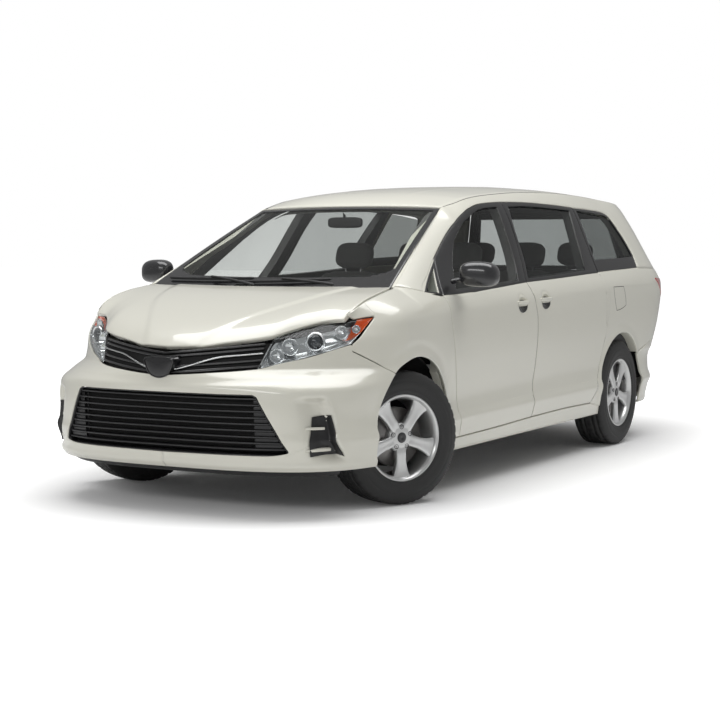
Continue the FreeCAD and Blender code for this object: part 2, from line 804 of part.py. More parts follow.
# Front doors, each with a round cup behind its handle
CUP_RADIUS = 120
CUP_DEPTH = 16


def handle_cup(x, z):
    """A shallow round hollow in the door's skin."""
    return Part.makeSphere(CUP_RADIUS, place(x, side_y(x, z), z) + Vector(0, CUP_RADIUS - CUP_DEPTH, 0))


def handle_grip(x, z):
    """The pull that bridges a cup, flush with the skin."""
    y = side_y(x, z)
    grip = box(x - 88, x + 88, y - 13, y + 1, z - 13, z + 13)
    return grip.makeFillet(6, grip.Edges)


front_door = side_patch(steps(-120, 1215, 24), size("door_thickness"))
front_door = front_door.common(side_prism(FRONT_DOOR, -gap / 2))
front_door = front_door.cut(side_prism(FRONT_GLASS)).cut(handle_cup(239, 1015))
front_door = one_solid(front_door.fuse(handle_grip(239, 1015)))
front_glass = side_patch(steps(-120, 1215, 24), size("glass_thickness"), 9)
front_glass = one_solid(front_glass.common(side_prism(FRONT_GLASS, -seat_gap)))
mirror = soft_block(985, 1115, 1000, 1195, 1150, 1278, 28)
mirror = one_solid(mirror.fuse(box(1010, 1075, 840, 1010, 1160, 1195)).cut(front_door))
for hand, turn in (("left", lambda shape: shape), ("right", mirrored)):
    add_piece("front_door_%s" % hand, turn(front_door))
    add_piece("front_door_glass_%s" % hand, turn(front_glass))
    add_piece("mirror_%s" % hand, turn(mirror))

# Sliding doors, each seated at one point of its rear latch, and the fixed side glass
sliding_door = side_patch(steps(-1260, 140, 24), size("door_thickness"))
sliding_shape = side_prism(SLIDING_DOOR, -gap / 2)
latch = side_prism(SLIDING_DOOR, gap / 2 - seat_gap).common(
    outline_xz([(-1400, 880), (-1000, 880), (-1000, 940), (-1400, 940)], 300, 1300)
)
sliding_door = sliding_door.common(sliding_shape.fuse(latch))
sliding_door = sliding_door.cut(side_prism(SLIDING_GLASS)).cut(handle_cup(-106, 1025))
sliding_door = one_solid(sliding_door.fuse(handle_grip(-106, 1025)))
add_piece("sliding_door_left", sliding_door)
add_piece("sliding_door_right", mirrored(sliding_door))
pane_skin = wrapped_side(skin_x, corner_angles, size("glass_thickness"), 9)
panes = [
    one_solid(pane_skin.common(side_prism(outline, -seat_gap)))
    for outline in (SLIDING_GLASS, FRONT_QUARTER_GLASS, REAR_QUARTER_GLASS)
]
add_piece("side_glass", Part.Compound(panes + [mirrored(pane) for pane in panes]))

# Hood, hinged at its rear edge
HOOD_REAR_X = 1508
HOOD_REAR_BOW = 74
HOOD_THICKNESS = 22
hood_side = steps(HOOD_REAR_X, 2020, 9)
hood_half = [(x, edge_y(x) - gap / 2) for x in hood_side]
hood_half += [(through([(y, x) for y, x in HOOD_FRONT], y) - 1, y) for y in (760, 700, 640, 580, 527, 420, 300, 150)]
hood_outline = hood_half + [(2455, 0)] + [(x, -y) for x, y in reversed(hood_half)]
hood_outline += [(HOOD_REAR_X + HOOD_REAR_BOW * (1 - s * s), 780 * s) for s in steps(-0.8, 0.8, 9)]
hood_face = surface_face([
    [place(x, y, hood_z(x, y)) for y in steps(-840, 840, 33)] for x in steps(1480, 2480, 27)
])
hood = hood_face.extrude(Vector(0, 0, -HOOD_THICKNESS)).common(outline_xy(hood_outline, 600, 1400))
add_piece("hood", one_solid(hood))
hood_space = hood_face.extrude(Vector(0, 0, -HOOD_THICKNESS - gap))
hood_space = hood_space.fuse(hood_face.extrude(Vector(0, 0, 60)))
hood_space = hood_space.common(outline_xy(grown(hood_outline, gap), 600, 1400))

# Front fenders
fender = side_patch(steps(1050, 2027, 22), size("panel_thickness"))
fender = fender.common(outline_xz([
    (1000, 300), (1000, 1088), (1192, 1090), (1260, 1101), (1500, 1101), (1500, 1200), (2027, 1200), (2027, 700),
    (1900, 700), (1700, 290),
], 300, 1300)).cut(door_hole)
LAMP_FRONT = [(484, 751), (527, 892), (545, 934), (640, 955), (720, 972), (805, 990), (885, 1001), (845, 870), (674, 803)]
BUMPER_FRONT = [(0, 712), (484, 748), (674, 800), (845, 866), (958, 719), (1010, 719), (1010, 180)]
BUMPER_FRONT += [(-y, z) for y, z in reversed(BUMPER_FRONT[1:])]
fender = fender.cut(front_arch).cut(outline_yz(grown(LAMP_FRONT, SEAM), 1700, 2600))
fender = fender.cut(outline_yz(grown(BUMPER_FRONT, SEAM), 1840, 2600)).cut(hood_space)
fender = one_solid(fender.cut(body_side))
add_piece("front_fenders", Part.Compound([fender, mirrored(fender)]))

# Cowl between hood and windshield
cowl_rows = [
    [place(HOOD_REAR_X - gap + HOOD_REAR_BOW * (1 - s * s) - back, 785 * s, 1112 - 0.2 * back) for s in steps(-1, 1, 9)]
    for back in (0, 60, 120)
]
cowl = surface_face(cowl_rows).extrude(Vector(0, 0, -30))
add_piece("cowl", one_solid(cowl.cut(windshield).cut(body_side).cut(mirrored(body_side))))

# Front bumper: the grille's opening, and a slotted hollow at each end with its four fins
LOWER_OPENING = [(-546, 629), (546, 629), (700, 322), (-700, 322)]
FOG_HOLLOW = [(700, 606), (846, 540), (880, 330), (772, 330), (760, 470)]
FIN_PITCH = 46
lower_opening = outline_yz(rounded(LOWER_OPENING, 30), 1800, 2700)
front_bumper = nose_shell.common(outline_yz(BUMPER_FRONT, 1690, 2700)).cut(front_arch).cut(mirrored(front_arch))
front_bumper = front_bumper.cut(lower_opening).cut(box(1600, 1850, -1300, 1300, 100, 1200))
fog_face = end_shell(nose_point, NOSE_LEVELS[2:9], size("bumper_thickness") - 6, ALL_ROUND)
fog_cut = fog_face.common(outline_yz(rounded(FOG_HOLLOW, 20), 1800, 2700))
fins = [box(1900, 2600, 780, 900, z - 4, z + 4) for z in steps(380, 380 + 3 * FIN_PITCH, 4)]
fog_cut = fog_cut.cut(fins)
for cut in fog_cut.Solids:
    front_bumper = front_bumper.cut(cut).cut(mirrored(cut))
add_piece("front_bumper", one_solid(front_bumper))

# Upper and lower grilles, set in behind the bumper's face
GRILLE_INSET = size("bumper_thickness") + seat_gap
BAR_HEIGHT = 12
BARS = 9
grille_skin = end_shell(lambda a, z, i: nose_point(a, z, i + GRILLE_INSET), NOSE_LEVELS[2:15], 24, ALL_ROUND)
lower_grille = grille_skin.common(outline_yz(grown(rounded(LOWER_OPENING, 30), 12), 1800, 2700))
slot_levels = steps(338, 613, BARS)
for z, next_z in zip(slot_levels, slot_levels[1:]):
    for y0, y1 in ((-520, -12), (12, 520)):
        lower_grille = lower_grille.cut(box(1800, 2700, y0, y1, z + BAR_HEIGHT / 2, next_z - BAR_HEIGHT / 2))
lower_grille = lower_grille.cut(front_bumper)
UPPER_OPENING = [(-527, 888), (-250, 858), (0, 834), (250, 858), (527, 888), (484, 753), (0, 716), (-484, 753)]
POD = [(-82, 802), (82, 802), (88, 776), (62, 722), (0, 698), (-62, 722), (-88, 776)]
upper_grille = grille_skin.common(outline_yz(UPPER_OPENING, 1800, 2700))
pod = outline_yz(rounded(POD, 24), 2440, 2541)
upper_grille = upper_grille.fuse(pod).cut(front_bumper).cut(hood_space)
upper_grille = upper_grille.cut(outline_yz(grown(LAMP_FRONT, seat_gap), 1700, 2600))
upper_grille = upper_grille.cut(outline_yz([(-y, z) for y, z in grown(LAMP_FRONT, seat_gap)], 1700, 2600))
add_piece("grilles", Part.Compound([one_solid(lower_grille), one_solid(upper_grille)]))

# Headlamps
lamp_skin = end_shell(nose_point, NOSE_LEVELS[10:], 60, ALL_ROUND)
headlamp = lamp_skin.common(outline_yz(LAMP_FRONT, 1700, 2600)).cut(hood_space)
headlamp = one_solid(headlamp.cut(fender).cut(front_bumper))
add_piece("headlamps", Part.Compound([headlamp, mirrored(headlamp)]))

# Tail lamps
tail_lamp = one_solid(tail_lamp)
add_piece("tail_lamps", Part.Compound([tail_lamp, mirrored(tail_lamp)]))

# Liftgate, from the roof to the bumper, and its window
gate_top = surface_face(roof_rows(REAR_EDGE_X, GATE_GAP_X, 0, 6)).extrude(Vector(0, 0, -40))
gate_top = gate_top.common(outline_yz(GATE_OUTLINE, -2700, GATE_GAP_X))
GATE_WINDOW = [(-575, 1190), (575, 1190), (505, 1560), (-505, 1560)]
gate = tail_shell.common(outline_yz(GATE_OUTLINE, -2700, -2100)).fuse(gate_top)
gate = gate.cut(outline_yz(rounded(GATE_WINDOW, 50), -2700, -1800))
gate = gate.common(box(-2700, GATE_GAP_X, -900, 900, 200, 1800))
SEAL_DEPTH = 22
SEAL_STEP = 20
rebate = end_shell(lambda a, z, i: tail_point(a, z, i + SEAL_DEPTH), TAIL_LEVELS, 90, ALL_ROUND)
gate = gate.cut(rebate.cut(outline_yz(grown(GATE_OUTLINE, -SEAL_STEP), -2700, -1700)))
add_piece("liftgate", one_solid(gate))
gate_glass = end_shell(lambda a, z, i: tail_point(a, z, i + 9), TAIL_LEVELS[7:], size("glass_thickness"), ALL_ROUND)
gate_glass = gate_glass.common(outline_yz(grown(rounded(GATE_WINDOW, 50), -seat_gap), -2700, -2100))
add_piece("liftgate_glass", one_solid(gate_glass))

# Rear bumper
rear_bumper = end_shell(tail_point, BUMPER_LEVELS, size("bumper_thickness"), ALL_ROUND)
bumper_prism = outline_xz(BUMPER_SIDE, -1300, 1300)
rear_bumper = rear_bumper.common(bumper_prism).cut(rear_arch).cut(mirrored(rear_arch))
add_piece("rear_bumper", one_solid(rear_bumper))

# Wheels: tyre and rim about a local axis along +Y, outboard face at +Y
HALF_TYRE = "Sizes.tyre_width / 2"
RIM_R = "(Sizes.tyre_radius - Sizes.tyre_wall)"
HALF_RIM = "(Sizes.tyre_width / 2 - 12)"
BARREL_R = "(Sizes.tyre_radius - Sizes.tyre_wall - Sizes.rim_lip - 12)"
FACE_Y = "(Sizes.tyre_width / 2 - 12 - Sizes.spoke_set_in)"
BACK_Y = FACE_Y + " - Sizes.spoke_thickness"
DISC_Y = FACE_Y + " - Sizes.brake_disc_inset"
HUB_RADIUS = 78


def make_tyre(name):
    """A tyre with rounded shoulders, its beads held between the rim's flanges."""
    body = doc.addObject("PartDesign::Body", name)
    half = [
        (RIM_R + " - 11.7", HALF_RIM + " - 5.3"), (RIM_R + " + 3", HALF_RIM + " - 5.3"),
        (RIM_R + " + 20", HALF_TYRE + " - 5"), (RIM_R + " + 52", HALF_TYRE),
        ("Sizes.tyre_radius - 42", HALF_TYRE + " - 6"), ("Sizes.tyre_radius - 15", HALF_TYRE + " - 16"),
        ("Sizes.tyre_radius - 4", HALF_TYRE + " - 34"), ("Sizes.tyre_radius", "30"),
    ]
    turned(body, name + "_Ring", half + [(r, "-(%s)" % y) for r, y in reversed(half)])
    return body


def make_rim(name):
    """A rim with its barrel, hub, brake disc and five broad spokes."""
    body = doc.addObject("PartDesign::Body", name)
    bore = "Sizes.hub_bore_radius"
    turned(body, name + "_Barrel", [
        (RIM_R, "-" + HALF_RIM), (RIM_R, "-%s + 5" % HALF_RIM), (RIM_R + " - 12", "-%s + 5" % HALF_RIM),
        (RIM_R + " - 12", HALF_RIM + " - 5"), (RIM_R, HALF_RIM + " - 5"), (RIM_R, HALF_RIM),
        (RIM_R + " - 9", HALF_RIM), (RIM_R + " - 16", HALF_RIM + " - 8"), (BARREL_R + " - 2", FACE_Y),
        ("%g" % (HUB_RADIUS + 14), FACE_Y + " - 7"), (bore, FACE_Y + " - 5"),
        (bore, BACK_Y + " - 6"), ("%g" % HUB_RADIUS, BACK_Y + " - 6"),
        (BARREL_R, BACK_Y), (BARREL_R + " + 4", "-" + HALF_RIM),
    ])
    window = sketch_on(body, name + "_Window", "XZ_Plane", [
        ("-22", "88"), ("22", "88"), ("86", "158"), ("76", "178"), ("28", "%s - 6" % BARREL_R),
        ("-28", "%s - 6" % BARREL_R), ("-76", "178"), ("-86", "158"),
    ])
    pocket = body.newObject("PartDesign::Pocket", name + "_WindowCut")
    pocket.Profile = window
    pocket.Type = "ThroughAll"
    pocket.Midplane = True
    pattern = body.newObject("PartDesign::PolarPattern", name + "_Windows")
    pattern.Originals = [pocket]
    pattern.Axis = (window, ["N_Axis"])
    pattern.Angle = 360
    pattern.setExpression("Occurrences", "Sizes.rim_spokes")
    body.Tip = pattern
    disc = turned(body, name + "_Disc", [
        ("Sizes.brake_disc_radius", DISC_Y), ("Sizes.brake_disc_radius", DISC_Y + " - Sizes.brake_disc_thickness"),
        (bore, DISC_Y + " - Sizes.brake_disc_thickness"), (bore, BACK_Y), ("%g" % HUB_RADIUS, BACK_Y),
        ("%g" % HUB_RADIUS, DISC_Y),
    ])
    cap = turned(body, name + "_Cap", [
        ("0.01", FACE_Y), (bore + " + 2", FACE_Y), (bore + " + 2", FACE_Y + " - 8"), ("0.01", FACE_Y + " - 8"),
    ])
    body.Tip = cap
    return body


rest_turn = -size("steer_at_rest")
KINGPIN_Y = "(Sizes.track_width / 2 - Sizes.kingpin_inset)"
FRONT_X = x_text(BASE_FRONT_AXLE)
REAR_X = x_text(BASE_REAR_AXLE)
for corner, front, sign in (
    ("front_left", True, ""), ("front_right", True, "-"), ("rear_left", False, ""), ("rear_right", False, "-"),
):
    angle = (rest_turn if front else 0) + (180 if sign else 0)
    if front:
        x = "%s %s Sizes.kingpin_inset * sin(Sizes.steer_at_rest * 1 deg)" % (FRONT_X, sign or "+")
        y = "%s(%s + Sizes.kingpin_inset * cos(Sizes.steer_at_rest * 1 deg))" % (sign, KINGPIN_Y)
    else:
        x = REAR_X
        y = sign + "Sizes.track_width / 2"
    for make, kind in ((make_tyre, "tyre"), (make_rim, "rim")):
        wheel = keep(make("%s_%s" % (kind, corner)), "%s_%s" % (kind, corner))
        seat_at(wheel, x, y, "Sizes.tyre_radius", FreeCAD.Rotation(Vector(0, 0, 1), angle))

# Knuckles, each turning about its upright kingpin
spindle = "Sizes.hub_bore_radius - Sizes.bearing_gap"
SPINDLE_END = FACE_Y + " - 9"
for hand, sign in (("left", 1), ("right", -1)):
    turn = FreeCAD.Rotation(Vector(0, 0, 1), rest_turn + (0 if sign > 0 else 180))
    local = "Knuckle_%s_" % hand
    pieces = [
        rod(local + "Spindle", spindle, "%s + Sizes.kingpin_inset + 50" % SPINDLE_END, "0", "-50", "0", ALONG_Y),
        block(local + "Upright", ("-35", "35"), ("-62", "-32"), ("-132", "168")),
        block(local + "Foot", ("-28", "28"), ("-50", "22"), ("-140", "-116")),
        block(local + "Shoulder", ("-30", "30"), ("-132", "-32"), ("160", "190")),
        block(local + "Clamp", ("-30", "30"), ("-132", "-92"), ("170", "204")),
    ]
    knuckle = keep(fused("knuckle_%s" % hand, pieces))
    y = KINGPIN_Y if sign > 0 else "-" + KINGPIN_Y
    seat_at(knuckle, FRONT_X, y, "Sizes.tyre_radius", turn)

# Front subframe: a cross-member with two arms under the knuckles and two posts up to the body's rails
SUB_TOP = "Sizes.tyre_radius - 140 - Sizes.seat_gap"
RAIL_BOTTOM = z_text(440)


def from_front(offset):
    return "%s + %g" % (FRONT_X, offset)


subframe = [
    block("CrossMember", (from_front(-260), from_front(160)), ("-470", "470"), (SUB_TOP + " - 20", SUB_TOP + " + 40")),
]
for offset in (-230, 70):
    post = block(
        "Post%d" % abs(offset), (from_front(offset), from_front(offset + 60)), ("430", "468"),
        (SUB_TOP, RAIL_BOTTOM + " - Sizes.seat_gap"),
    )
    subframe += [post, mirror_of(post, post.Name + "Right")]
arm = block("Arm", (from_front(-25), from_front(25)), ("460", KINGPIN_Y + " + 24"), (SUB_TOP + " - 22", SUB_TOP))
subframe += [arm, mirror_of(arm, "ArmRight")]
keep(fused("front_subframe", subframe))

# Front struts: rod and spring between each knuckle and its tower
STRUT_Y = KINGPIN_Y + " - 112"
TOWER_BOTTOM = z_text(985)
strut_parts = []
for name, radius, low, high in (
    ("StrutRod", "24", "Sizes.tyre_radius + 204 + Sizes.seat_gap", TOWER_BOTTOM), ("StrutSpring", "56", z_text(740), z_text(940)),
):
    strut_parts.append(rod(name, radius, "%s - (%s)" % (high, low), FRONT_X, STRUT_Y, low))
strut = fused("Strut", strut_parts)
struts = doc.addObject("Part::Compound", "front_struts")
struts.Links = [strut, mirror_of(strut, "StrutRight")]
keep(struts, "front_struts")

# Rear axle: a beam between two trailing arms, with the stub axles of the wheels
ARM_PIVOT_X = -1080
KICK_UP_BOTTOM = 406
REAR_Y = "(Sizes.track_width / 2)"
rear_parts = [
    rod("Beam", "Sizes.beam_radius", "2 * %s - 340" % REAR_Y, REAR_X + " + 120", "-%s + 170" % REAR_Y,
        "Sizes.tyre_radius - 60", ALONG_Y),
]
for name, xs, zs in (
    ("TrailingArm", (REAR_X + " - 60", x_text(ARM_PIVOT_X)), ("Sizes.tyre_radius - 90", "Sizes.tyre_radius - 20")),
    ("StubPlate", (REAR_X + " - 40", REAR_X + " + 40"), ("Sizes.tyre_radius - 60", "Sizes.tyre_radius + 45")),
    ("ArmBracket", (x_text(ARM_PIVOT_X) + " - 60", x_text(ARM_PIVOT_X)),
     ("Sizes.tyre_radius - 90", z_text(KICK_UP_BOTTOM) + " - Sizes.seat_gap")),
):
    part = block(name, xs, (REAR_Y + " - 200", REAR_Y + " - 150"), zs)
    rear_parts += [part, mirror_of(part, name + "Right")]
stub = rod("StubAxle", spindle, SPINDLE_END + " + 170", REAR_X, REAR_Y + " - 170", "Sizes.tyre_radius", ALONG_Y)
rear_parts += [stub, mirror_of(stub, "StubAxleRight")]
keep(fused("rear_axle", rear_parts))

# Floor pan: one folded sheet that rises over the rear axle, with four jacking pads beside the sills
FLOOR_LINE = [
    (1180, 262), (1180, 296), (-950, 296), (-1030, 440), (-2380, 440), (-2380, KICK_UP_BOTTOM),
    (-1050, KICK_UP_BOTTOM), (-970, 262),
]
FLOOR_PLAN = [
    (1180, -540), (1180, 540), (1120, 700), (1010, 905), (-1000, 905), (-1030, 690), (-1840, 690), (-1860, 830),
    (-2200, 830), (-2380, 780), (-2380, -780), (-2200, -830), (-1860, -830), (-1840, -690), (-1030, -690),
    (-1000, -905), (1010, -905), (1120, -700),
]
floor = outline_xz(FLOOR_LINE, -1000, 1000).common(outline_xy(FLOOR_PLAN, 200, 500))
pads = [box(x - 45, x + 45, y - 25, y + 25, 205, 263) for x in (900, -860) for y in (800, -800)]
floor = floor.fuse(pads).cut(body_side).cut(mirrored(body_side)).cut(rear_bumper)
add_piece("floor_pan", one_solid(floor))

# Front structure: firewall, rails, crash beam, strut towers, engine mounts and the hood's rubber stops
RAIL_Y = 460
structure = [
    station_block("Firewall", 1120, 1160, -530, 530, 296, 1085),
    station_block("Plenum", 1150, 1470, -530, 530, 1040, 1057.7),
    station_block("CrashBeam", 2260, 2330, -560, 560, 430, 560),
]
for name, stations in (
    ("Rail", (1160, 2300, RAIL_Y - 35, RAIL_Y + 35, 440, 540)),
    ("TowerWall", (1160, 1700, 425, 500, 540, 1000)),
    ("TowerTop", (1540, 1660, 425, 770, 985.3, 1010)),
    ("Mount", (1780, 1860, 395.3, 430, 440, 540)),
    ("LampBracket", (2200, 2300, 425, 500, 520, 700)),
):
    part = station_block(name, *stations)
    structure += [part, mirror_of(part, name + "Right")]
STOP_X = 2240
STOP_Y = 462
STOP_RADIUS = 12
stop_rim = [math.radians(angle) for angle in range(0, 360, 10)]
stop_top = min(
    hood_z(STOP_X + STOP_RADIUS * math.cos(turn), STOP_Y + STOP_RADIUS * math.sin(turn)) for turn in stop_rim
) - HOOD_THICKNESS
stop = rod("HoodStop", str(STOP_RADIUS), "%s - Sizes.seat_gap - (%s)" % (z_text(stop_top), z_text(690)),
           x_text(STOP_X), y_text(STOP_Y), z_text(690))
structure += [stop, mirror_of(stop, "HoodStopRight")]
keep(fused("front_structure", structure))

# Engine, tank and exhaust
keep(station_block("engine_block", 1560, 2080, -395, 395, 330, 900), "engine_block")
tank = station_block("TankBlock", -300, 560, -480, 120, 150, 261.7)
keep(softened("fuel_tank", tank, 30), "fuel_tank")
FLOOR_GAP = " - Sizes.seat_gap"
exhaust = [
    rod("Pipe", "Sizes.exhaust_radius", "%s - (%s)" % (x_text(1100), x_text(-2100)), x_text(-2100), y_text(300),
        z_text(210), ALONG_X),
    rod("Muffler", "Sizes.muffler_radius", "560", x_text(-2100), y_text(-120), z_text(285), ALONG_Y),
    rod("TailPipe", "24", "260", x_text(-2100) + " - 260", y_text(400), z_text(262), ALONG_X),
    block("Hanger", (x_text(700), x_text(700) + " + 30"), (y_text(300) + " - 6", y_text(300) + " + 6"),
          (z_text(215), z_text(262) + FLOOR_GAP)),
    block("MufflerHanger", (x_text(-2100) + " - 20", x_text(-2100) + " + 20"), ("150", "162"),
          (z_text(300), z_text(KICK_UP_BOTTOM) + FLOOR_GAP)),
]
keep(fused("exhaust", exhaust))

# Seats: cushion, back and head rest on a plinth, leaning back about the hip
BACK_LEAN = -18


def seat(name, x, y, width, floor_z=296):
    """One seat or bench at a base station, with its width from the sheet."""
    half = width + " / 2"
    middle = y_text(y)

    def across(less):
        return ("%s - %s + %g" % (middle, half, less), "%s + %s - %g" % (middle, half, less))

    def leaning(part, offset, base_z):
        turn = FreeCAD.Rotation(Vector(0, 1, 0), BACK_LEAN)
        part.Placement.Rotation = turn
        lift = base_z - 600
        part.setExpression("Placement.Base.x", x_text(x - 250) + " + %.4f" % turn.multVec(Vector(offset, 0, lift)).x)
        part.setExpression("Placement.Base.z", z_text(600) + " + %.4f" % turn.multVec(Vector(offset, 0, lift)).z)
        return part

    base = block(name + "Base", (x_text(x - 250), x_text(x + 270)), across(0), (z_text(480), z_text(640)))
    back = leaning(block(name + "Back", ("0", "140"), across(10), ("0", "630")), -60, 560)
    head = leaning(block(name + "Head", ("0", "100"), (middle + " - 130", middle + " + 130"), ("0", "190")), -40, 1205)
    stem = leaning(block(name + "Stem", ("0", "14"), (middle + " - 60", middle + " + 60"), ("0", "80")), 3, 1150)
    foot = block(name + "Foot", (x_text(x - 200), x_text(x + 220)), across(60), (z_text(floor_z), z_text(500)))
    soft = [softened(part.Name + "Soft", part, radius) for part, radius in ((base, 45), (back, 45), (head, 34))]
    return fused(name, soft + [stem, foot])


front_seats = doc.addObject("Part::Compound", "front_seats")
front_seats.Links = [
    seat("DriverSeat", 310, 390, "Sizes.front_seat_width"), seat("PassengerSeat", 310, -390, "Sizes.front_seat_width"),
]
keep(front_seats, "front_seats")
rear_seats = doc.addObject("Part::Compound", "rear_seats")
rear_seats.Links = [
    seat("SecondLeftSeat", -620, 420, "Sizes.second_seat_width"), seat("SecondRightSeat", -620, -420, "Sizes.second_seat_width"),
    seat("ThirdBench", -1560, 0, "Sizes.third_seat_width", 440),
]
keep(rear_seats, "rear_seats")

# Dashboard with its column boss, and the steering wheel on its column
COLUMN_END = 130
wheel_place = (x_text(760), y_text(390), z_text(985))
COLUMN_TILT = FreeCAD.Rotation(Vector(0, 0, 1), Vector(-0.9, 0, 0.436))
unit = Vector(-0.9, 0, 0.436)
unit.normalize()


def down_column(thing, distance):
    """Place an object on the steering axis, a distance below the wheel's centre."""
    step = unit * -distance
    texts = ["%s + %.5f" % (text, part) for text, part in zip(wheel_place, (step.x, step.y, step.z))]
    return seat_at(thing, *texts, rotation=COLUMN_TILT)


dash_block = station_block("DashBlock", 900, 1119.7, -760, 760, 700, 1040)
boss = bind(doc.addObject("Part::Cylinder", "ColumnBoss"), Radius="Sizes.steering_column_radius + 12", Height="110")
down_column(boss, COLUMN_END + seat_gap + 110)
keep(fused("dashboard", [softened("DashPad", dash_block, 50), boss]))
ring = bind(doc.addObject("Part::Torus", "WheelRing"), Radius1="Sizes.steering_wheel_radius", Radius2="Sizes.steering_wheel_grip")
down_column(ring, 0)
hub = bind(doc.addObject("Part::Cylinder", "WheelHub"), Radius="62", Height="40")
down_column(hub, 45)
column = bind(doc.addObject("Part::Cylinder", "Column"), Radius="Sizes.steering_column_radius", Height="%g" % COLUMN_END)
down_column(column, COLUMN_END)
spokes = []
for angle in (90, 180, 270):
    spoke = doc.addObject("Part::Cone", "Spoke%d" % angle)
    bind(spoke, Radius1="16", Radius2="10", Height="Sizes.steering_wheel_radius - 4")
    round_axis = FreeCAD.Rotation(Vector(0, 0, 1), angle)
    aim = COLUMN_TILT.multiply(round_axis).multiply(FreeCAD.Rotation(Vector(0, 1, 0), 84))
    step = unit * -20
    texts = ["%s + %.5f" % (text, part) for text, part in zip(wheel_place, (step.x, step.y, step.z))]
    spokes.append(seat_at(spoke, *texts, rotation=aim))
keep(fused("steering_wheel", [ring, hub, column] + spokes))

doc.recompute()
for thing in doc.Objects:
    if "Invalid" in thing.State or "Error" in thing.State:
        raise RuntimeError("%s could not be built" % thing.Name)
for piece in nodes:
    if piece.Shape.isNull() or not piece.Shape.isValid() or not piece.Shape.Solids:
        raise RuntimeError("%s has no valid solid" % piece.Label)
os.makedirs("parts", exist_ok=True)
for piece in nodes:
    piece.Shape.exportStep("parts/%s.step" % piece.Label)
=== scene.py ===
import bpy
import numpy as np
import json
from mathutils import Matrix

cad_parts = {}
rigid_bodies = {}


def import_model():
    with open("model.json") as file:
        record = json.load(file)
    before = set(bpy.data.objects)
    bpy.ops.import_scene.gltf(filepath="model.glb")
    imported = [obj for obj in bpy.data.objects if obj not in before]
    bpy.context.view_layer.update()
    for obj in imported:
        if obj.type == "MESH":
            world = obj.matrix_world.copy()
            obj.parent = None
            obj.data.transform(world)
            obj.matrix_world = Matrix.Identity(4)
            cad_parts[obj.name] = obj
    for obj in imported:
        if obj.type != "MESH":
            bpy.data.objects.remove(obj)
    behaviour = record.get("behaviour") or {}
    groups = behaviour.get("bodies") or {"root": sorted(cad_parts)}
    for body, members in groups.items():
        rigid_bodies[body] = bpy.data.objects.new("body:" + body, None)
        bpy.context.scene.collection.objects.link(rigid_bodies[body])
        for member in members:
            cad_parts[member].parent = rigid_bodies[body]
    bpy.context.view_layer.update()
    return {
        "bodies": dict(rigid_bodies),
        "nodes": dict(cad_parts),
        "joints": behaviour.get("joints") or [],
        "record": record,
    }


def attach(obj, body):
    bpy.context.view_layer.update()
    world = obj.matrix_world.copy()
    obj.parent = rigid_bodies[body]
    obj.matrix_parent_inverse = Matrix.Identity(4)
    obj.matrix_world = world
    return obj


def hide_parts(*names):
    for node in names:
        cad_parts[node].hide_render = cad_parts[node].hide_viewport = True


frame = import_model()

# Camera, floor and lamps
# The picture is taken from ahead and to the left of the van, a little above the hood, with a long lens.
# A white floor and a white surround stand in for the studio; near the van the floor has painted shade.
CAMERA_PLACE = (9.4807, 5.0920, 1.3849)
CAMERA_YAW = -2.6277
CAMERA_PITCH = -0.0697
CAMERA_ROLL = 0.0008
FOCAL_PIXELS = 1692.9
FRAME_PIXELS = 720
SENSOR_WIDTH = 36

camera_data = bpy.data.cameras.new("camera")
camera_data.sensor_width = SENSOR_WIDTH
camera_data.lens = FOCAL_PIXELS / FRAME_PIXELS * SENSOR_WIDTH
camera = bpy.data.objects.new("camera", camera_data)
camera.location = CAMERA_PLACE
camera.rotation_mode = "XYZ"
camera.rotation_euler = (np.pi / 2 + CAMERA_PITCH, CAMERA_ROLL, CAMERA_YAW - np.pi / 2)
scene = bpy.context.scene
scene.collection.objects.link(camera)
scene.camera = camera
scene.view_settings.view_transform = "Standard"


def new_material(name):
    """A material with an empty node tree; gives the material and the tree."""
    material = bpy.data.materials.new(name)
    material.use_nodes = True
    material.node_tree.nodes.clear()
    return material, material.node_tree


def add_node(tree, kind, inputs=None, **settings):
    """A shader node with its settings made, and its inputs given values or linked to other nodes' outputs."""
    made = tree.nodes.new("ShaderNode" + kind)
    for name, value in settings.items():
        setattr(made, name, value)
    for name, value in (inputs or {}).items():
        if isinstance(value, bpy.types.NodeSocket):
            tree.links.new(value, made.inputs[name])
        else:
            made.inputs[name].default_value = value
    return made


def seen_ray(tree):
    """1 on rays from the camera and rays through glass, else 0: the larger of the two flags."""
    ray = add_node(tree, "LightPath")
    flags = {0: ray.outputs["Is Camera Ray"], 1: ray.outputs["Is Transmission Ray"]}
    return add_node(tree, "Math", flags, operation="MAXIMUM").outputs["Value"]


def put_mesh(name, points, faces, material, smooth=True):
    """A mesh object from arrays: points in millimetres, faces as rows of corner numbers."""
    mesh = bpy.data.meshes.new(name)
    points = np.asarray(points, float).reshape(-1, 3) * 0.001
    faces = [np.asarray(block) for block in faces]
    counts = np.concatenate([np.full(len(block), block.shape[1]) for block in faces])
    corners = np.concatenate([block.ravel() for block in faces])
    mesh.vertices.add(len(points))
    mesh.vertices.foreach_set("co", points.ravel())
    mesh.loops.add(len(corners))
    mesh.loops.foreach_set("vertex_index", corners)
    mesh.polygons.add(len(counts))
    mesh.polygons.foreach_set("loop_start", np.concatenate([[0], np.cumsum(counts)[:-1]]))
    mesh.polygons.foreach_set("use_smooth", np.full(len(counts), smooth))
    mesh.update(calc_edges=True)
    mesh.materials.append(material)
    piece = bpy.data.objects.new(name, mesh)
    scene.collection.objects.link(piece)
    return piece


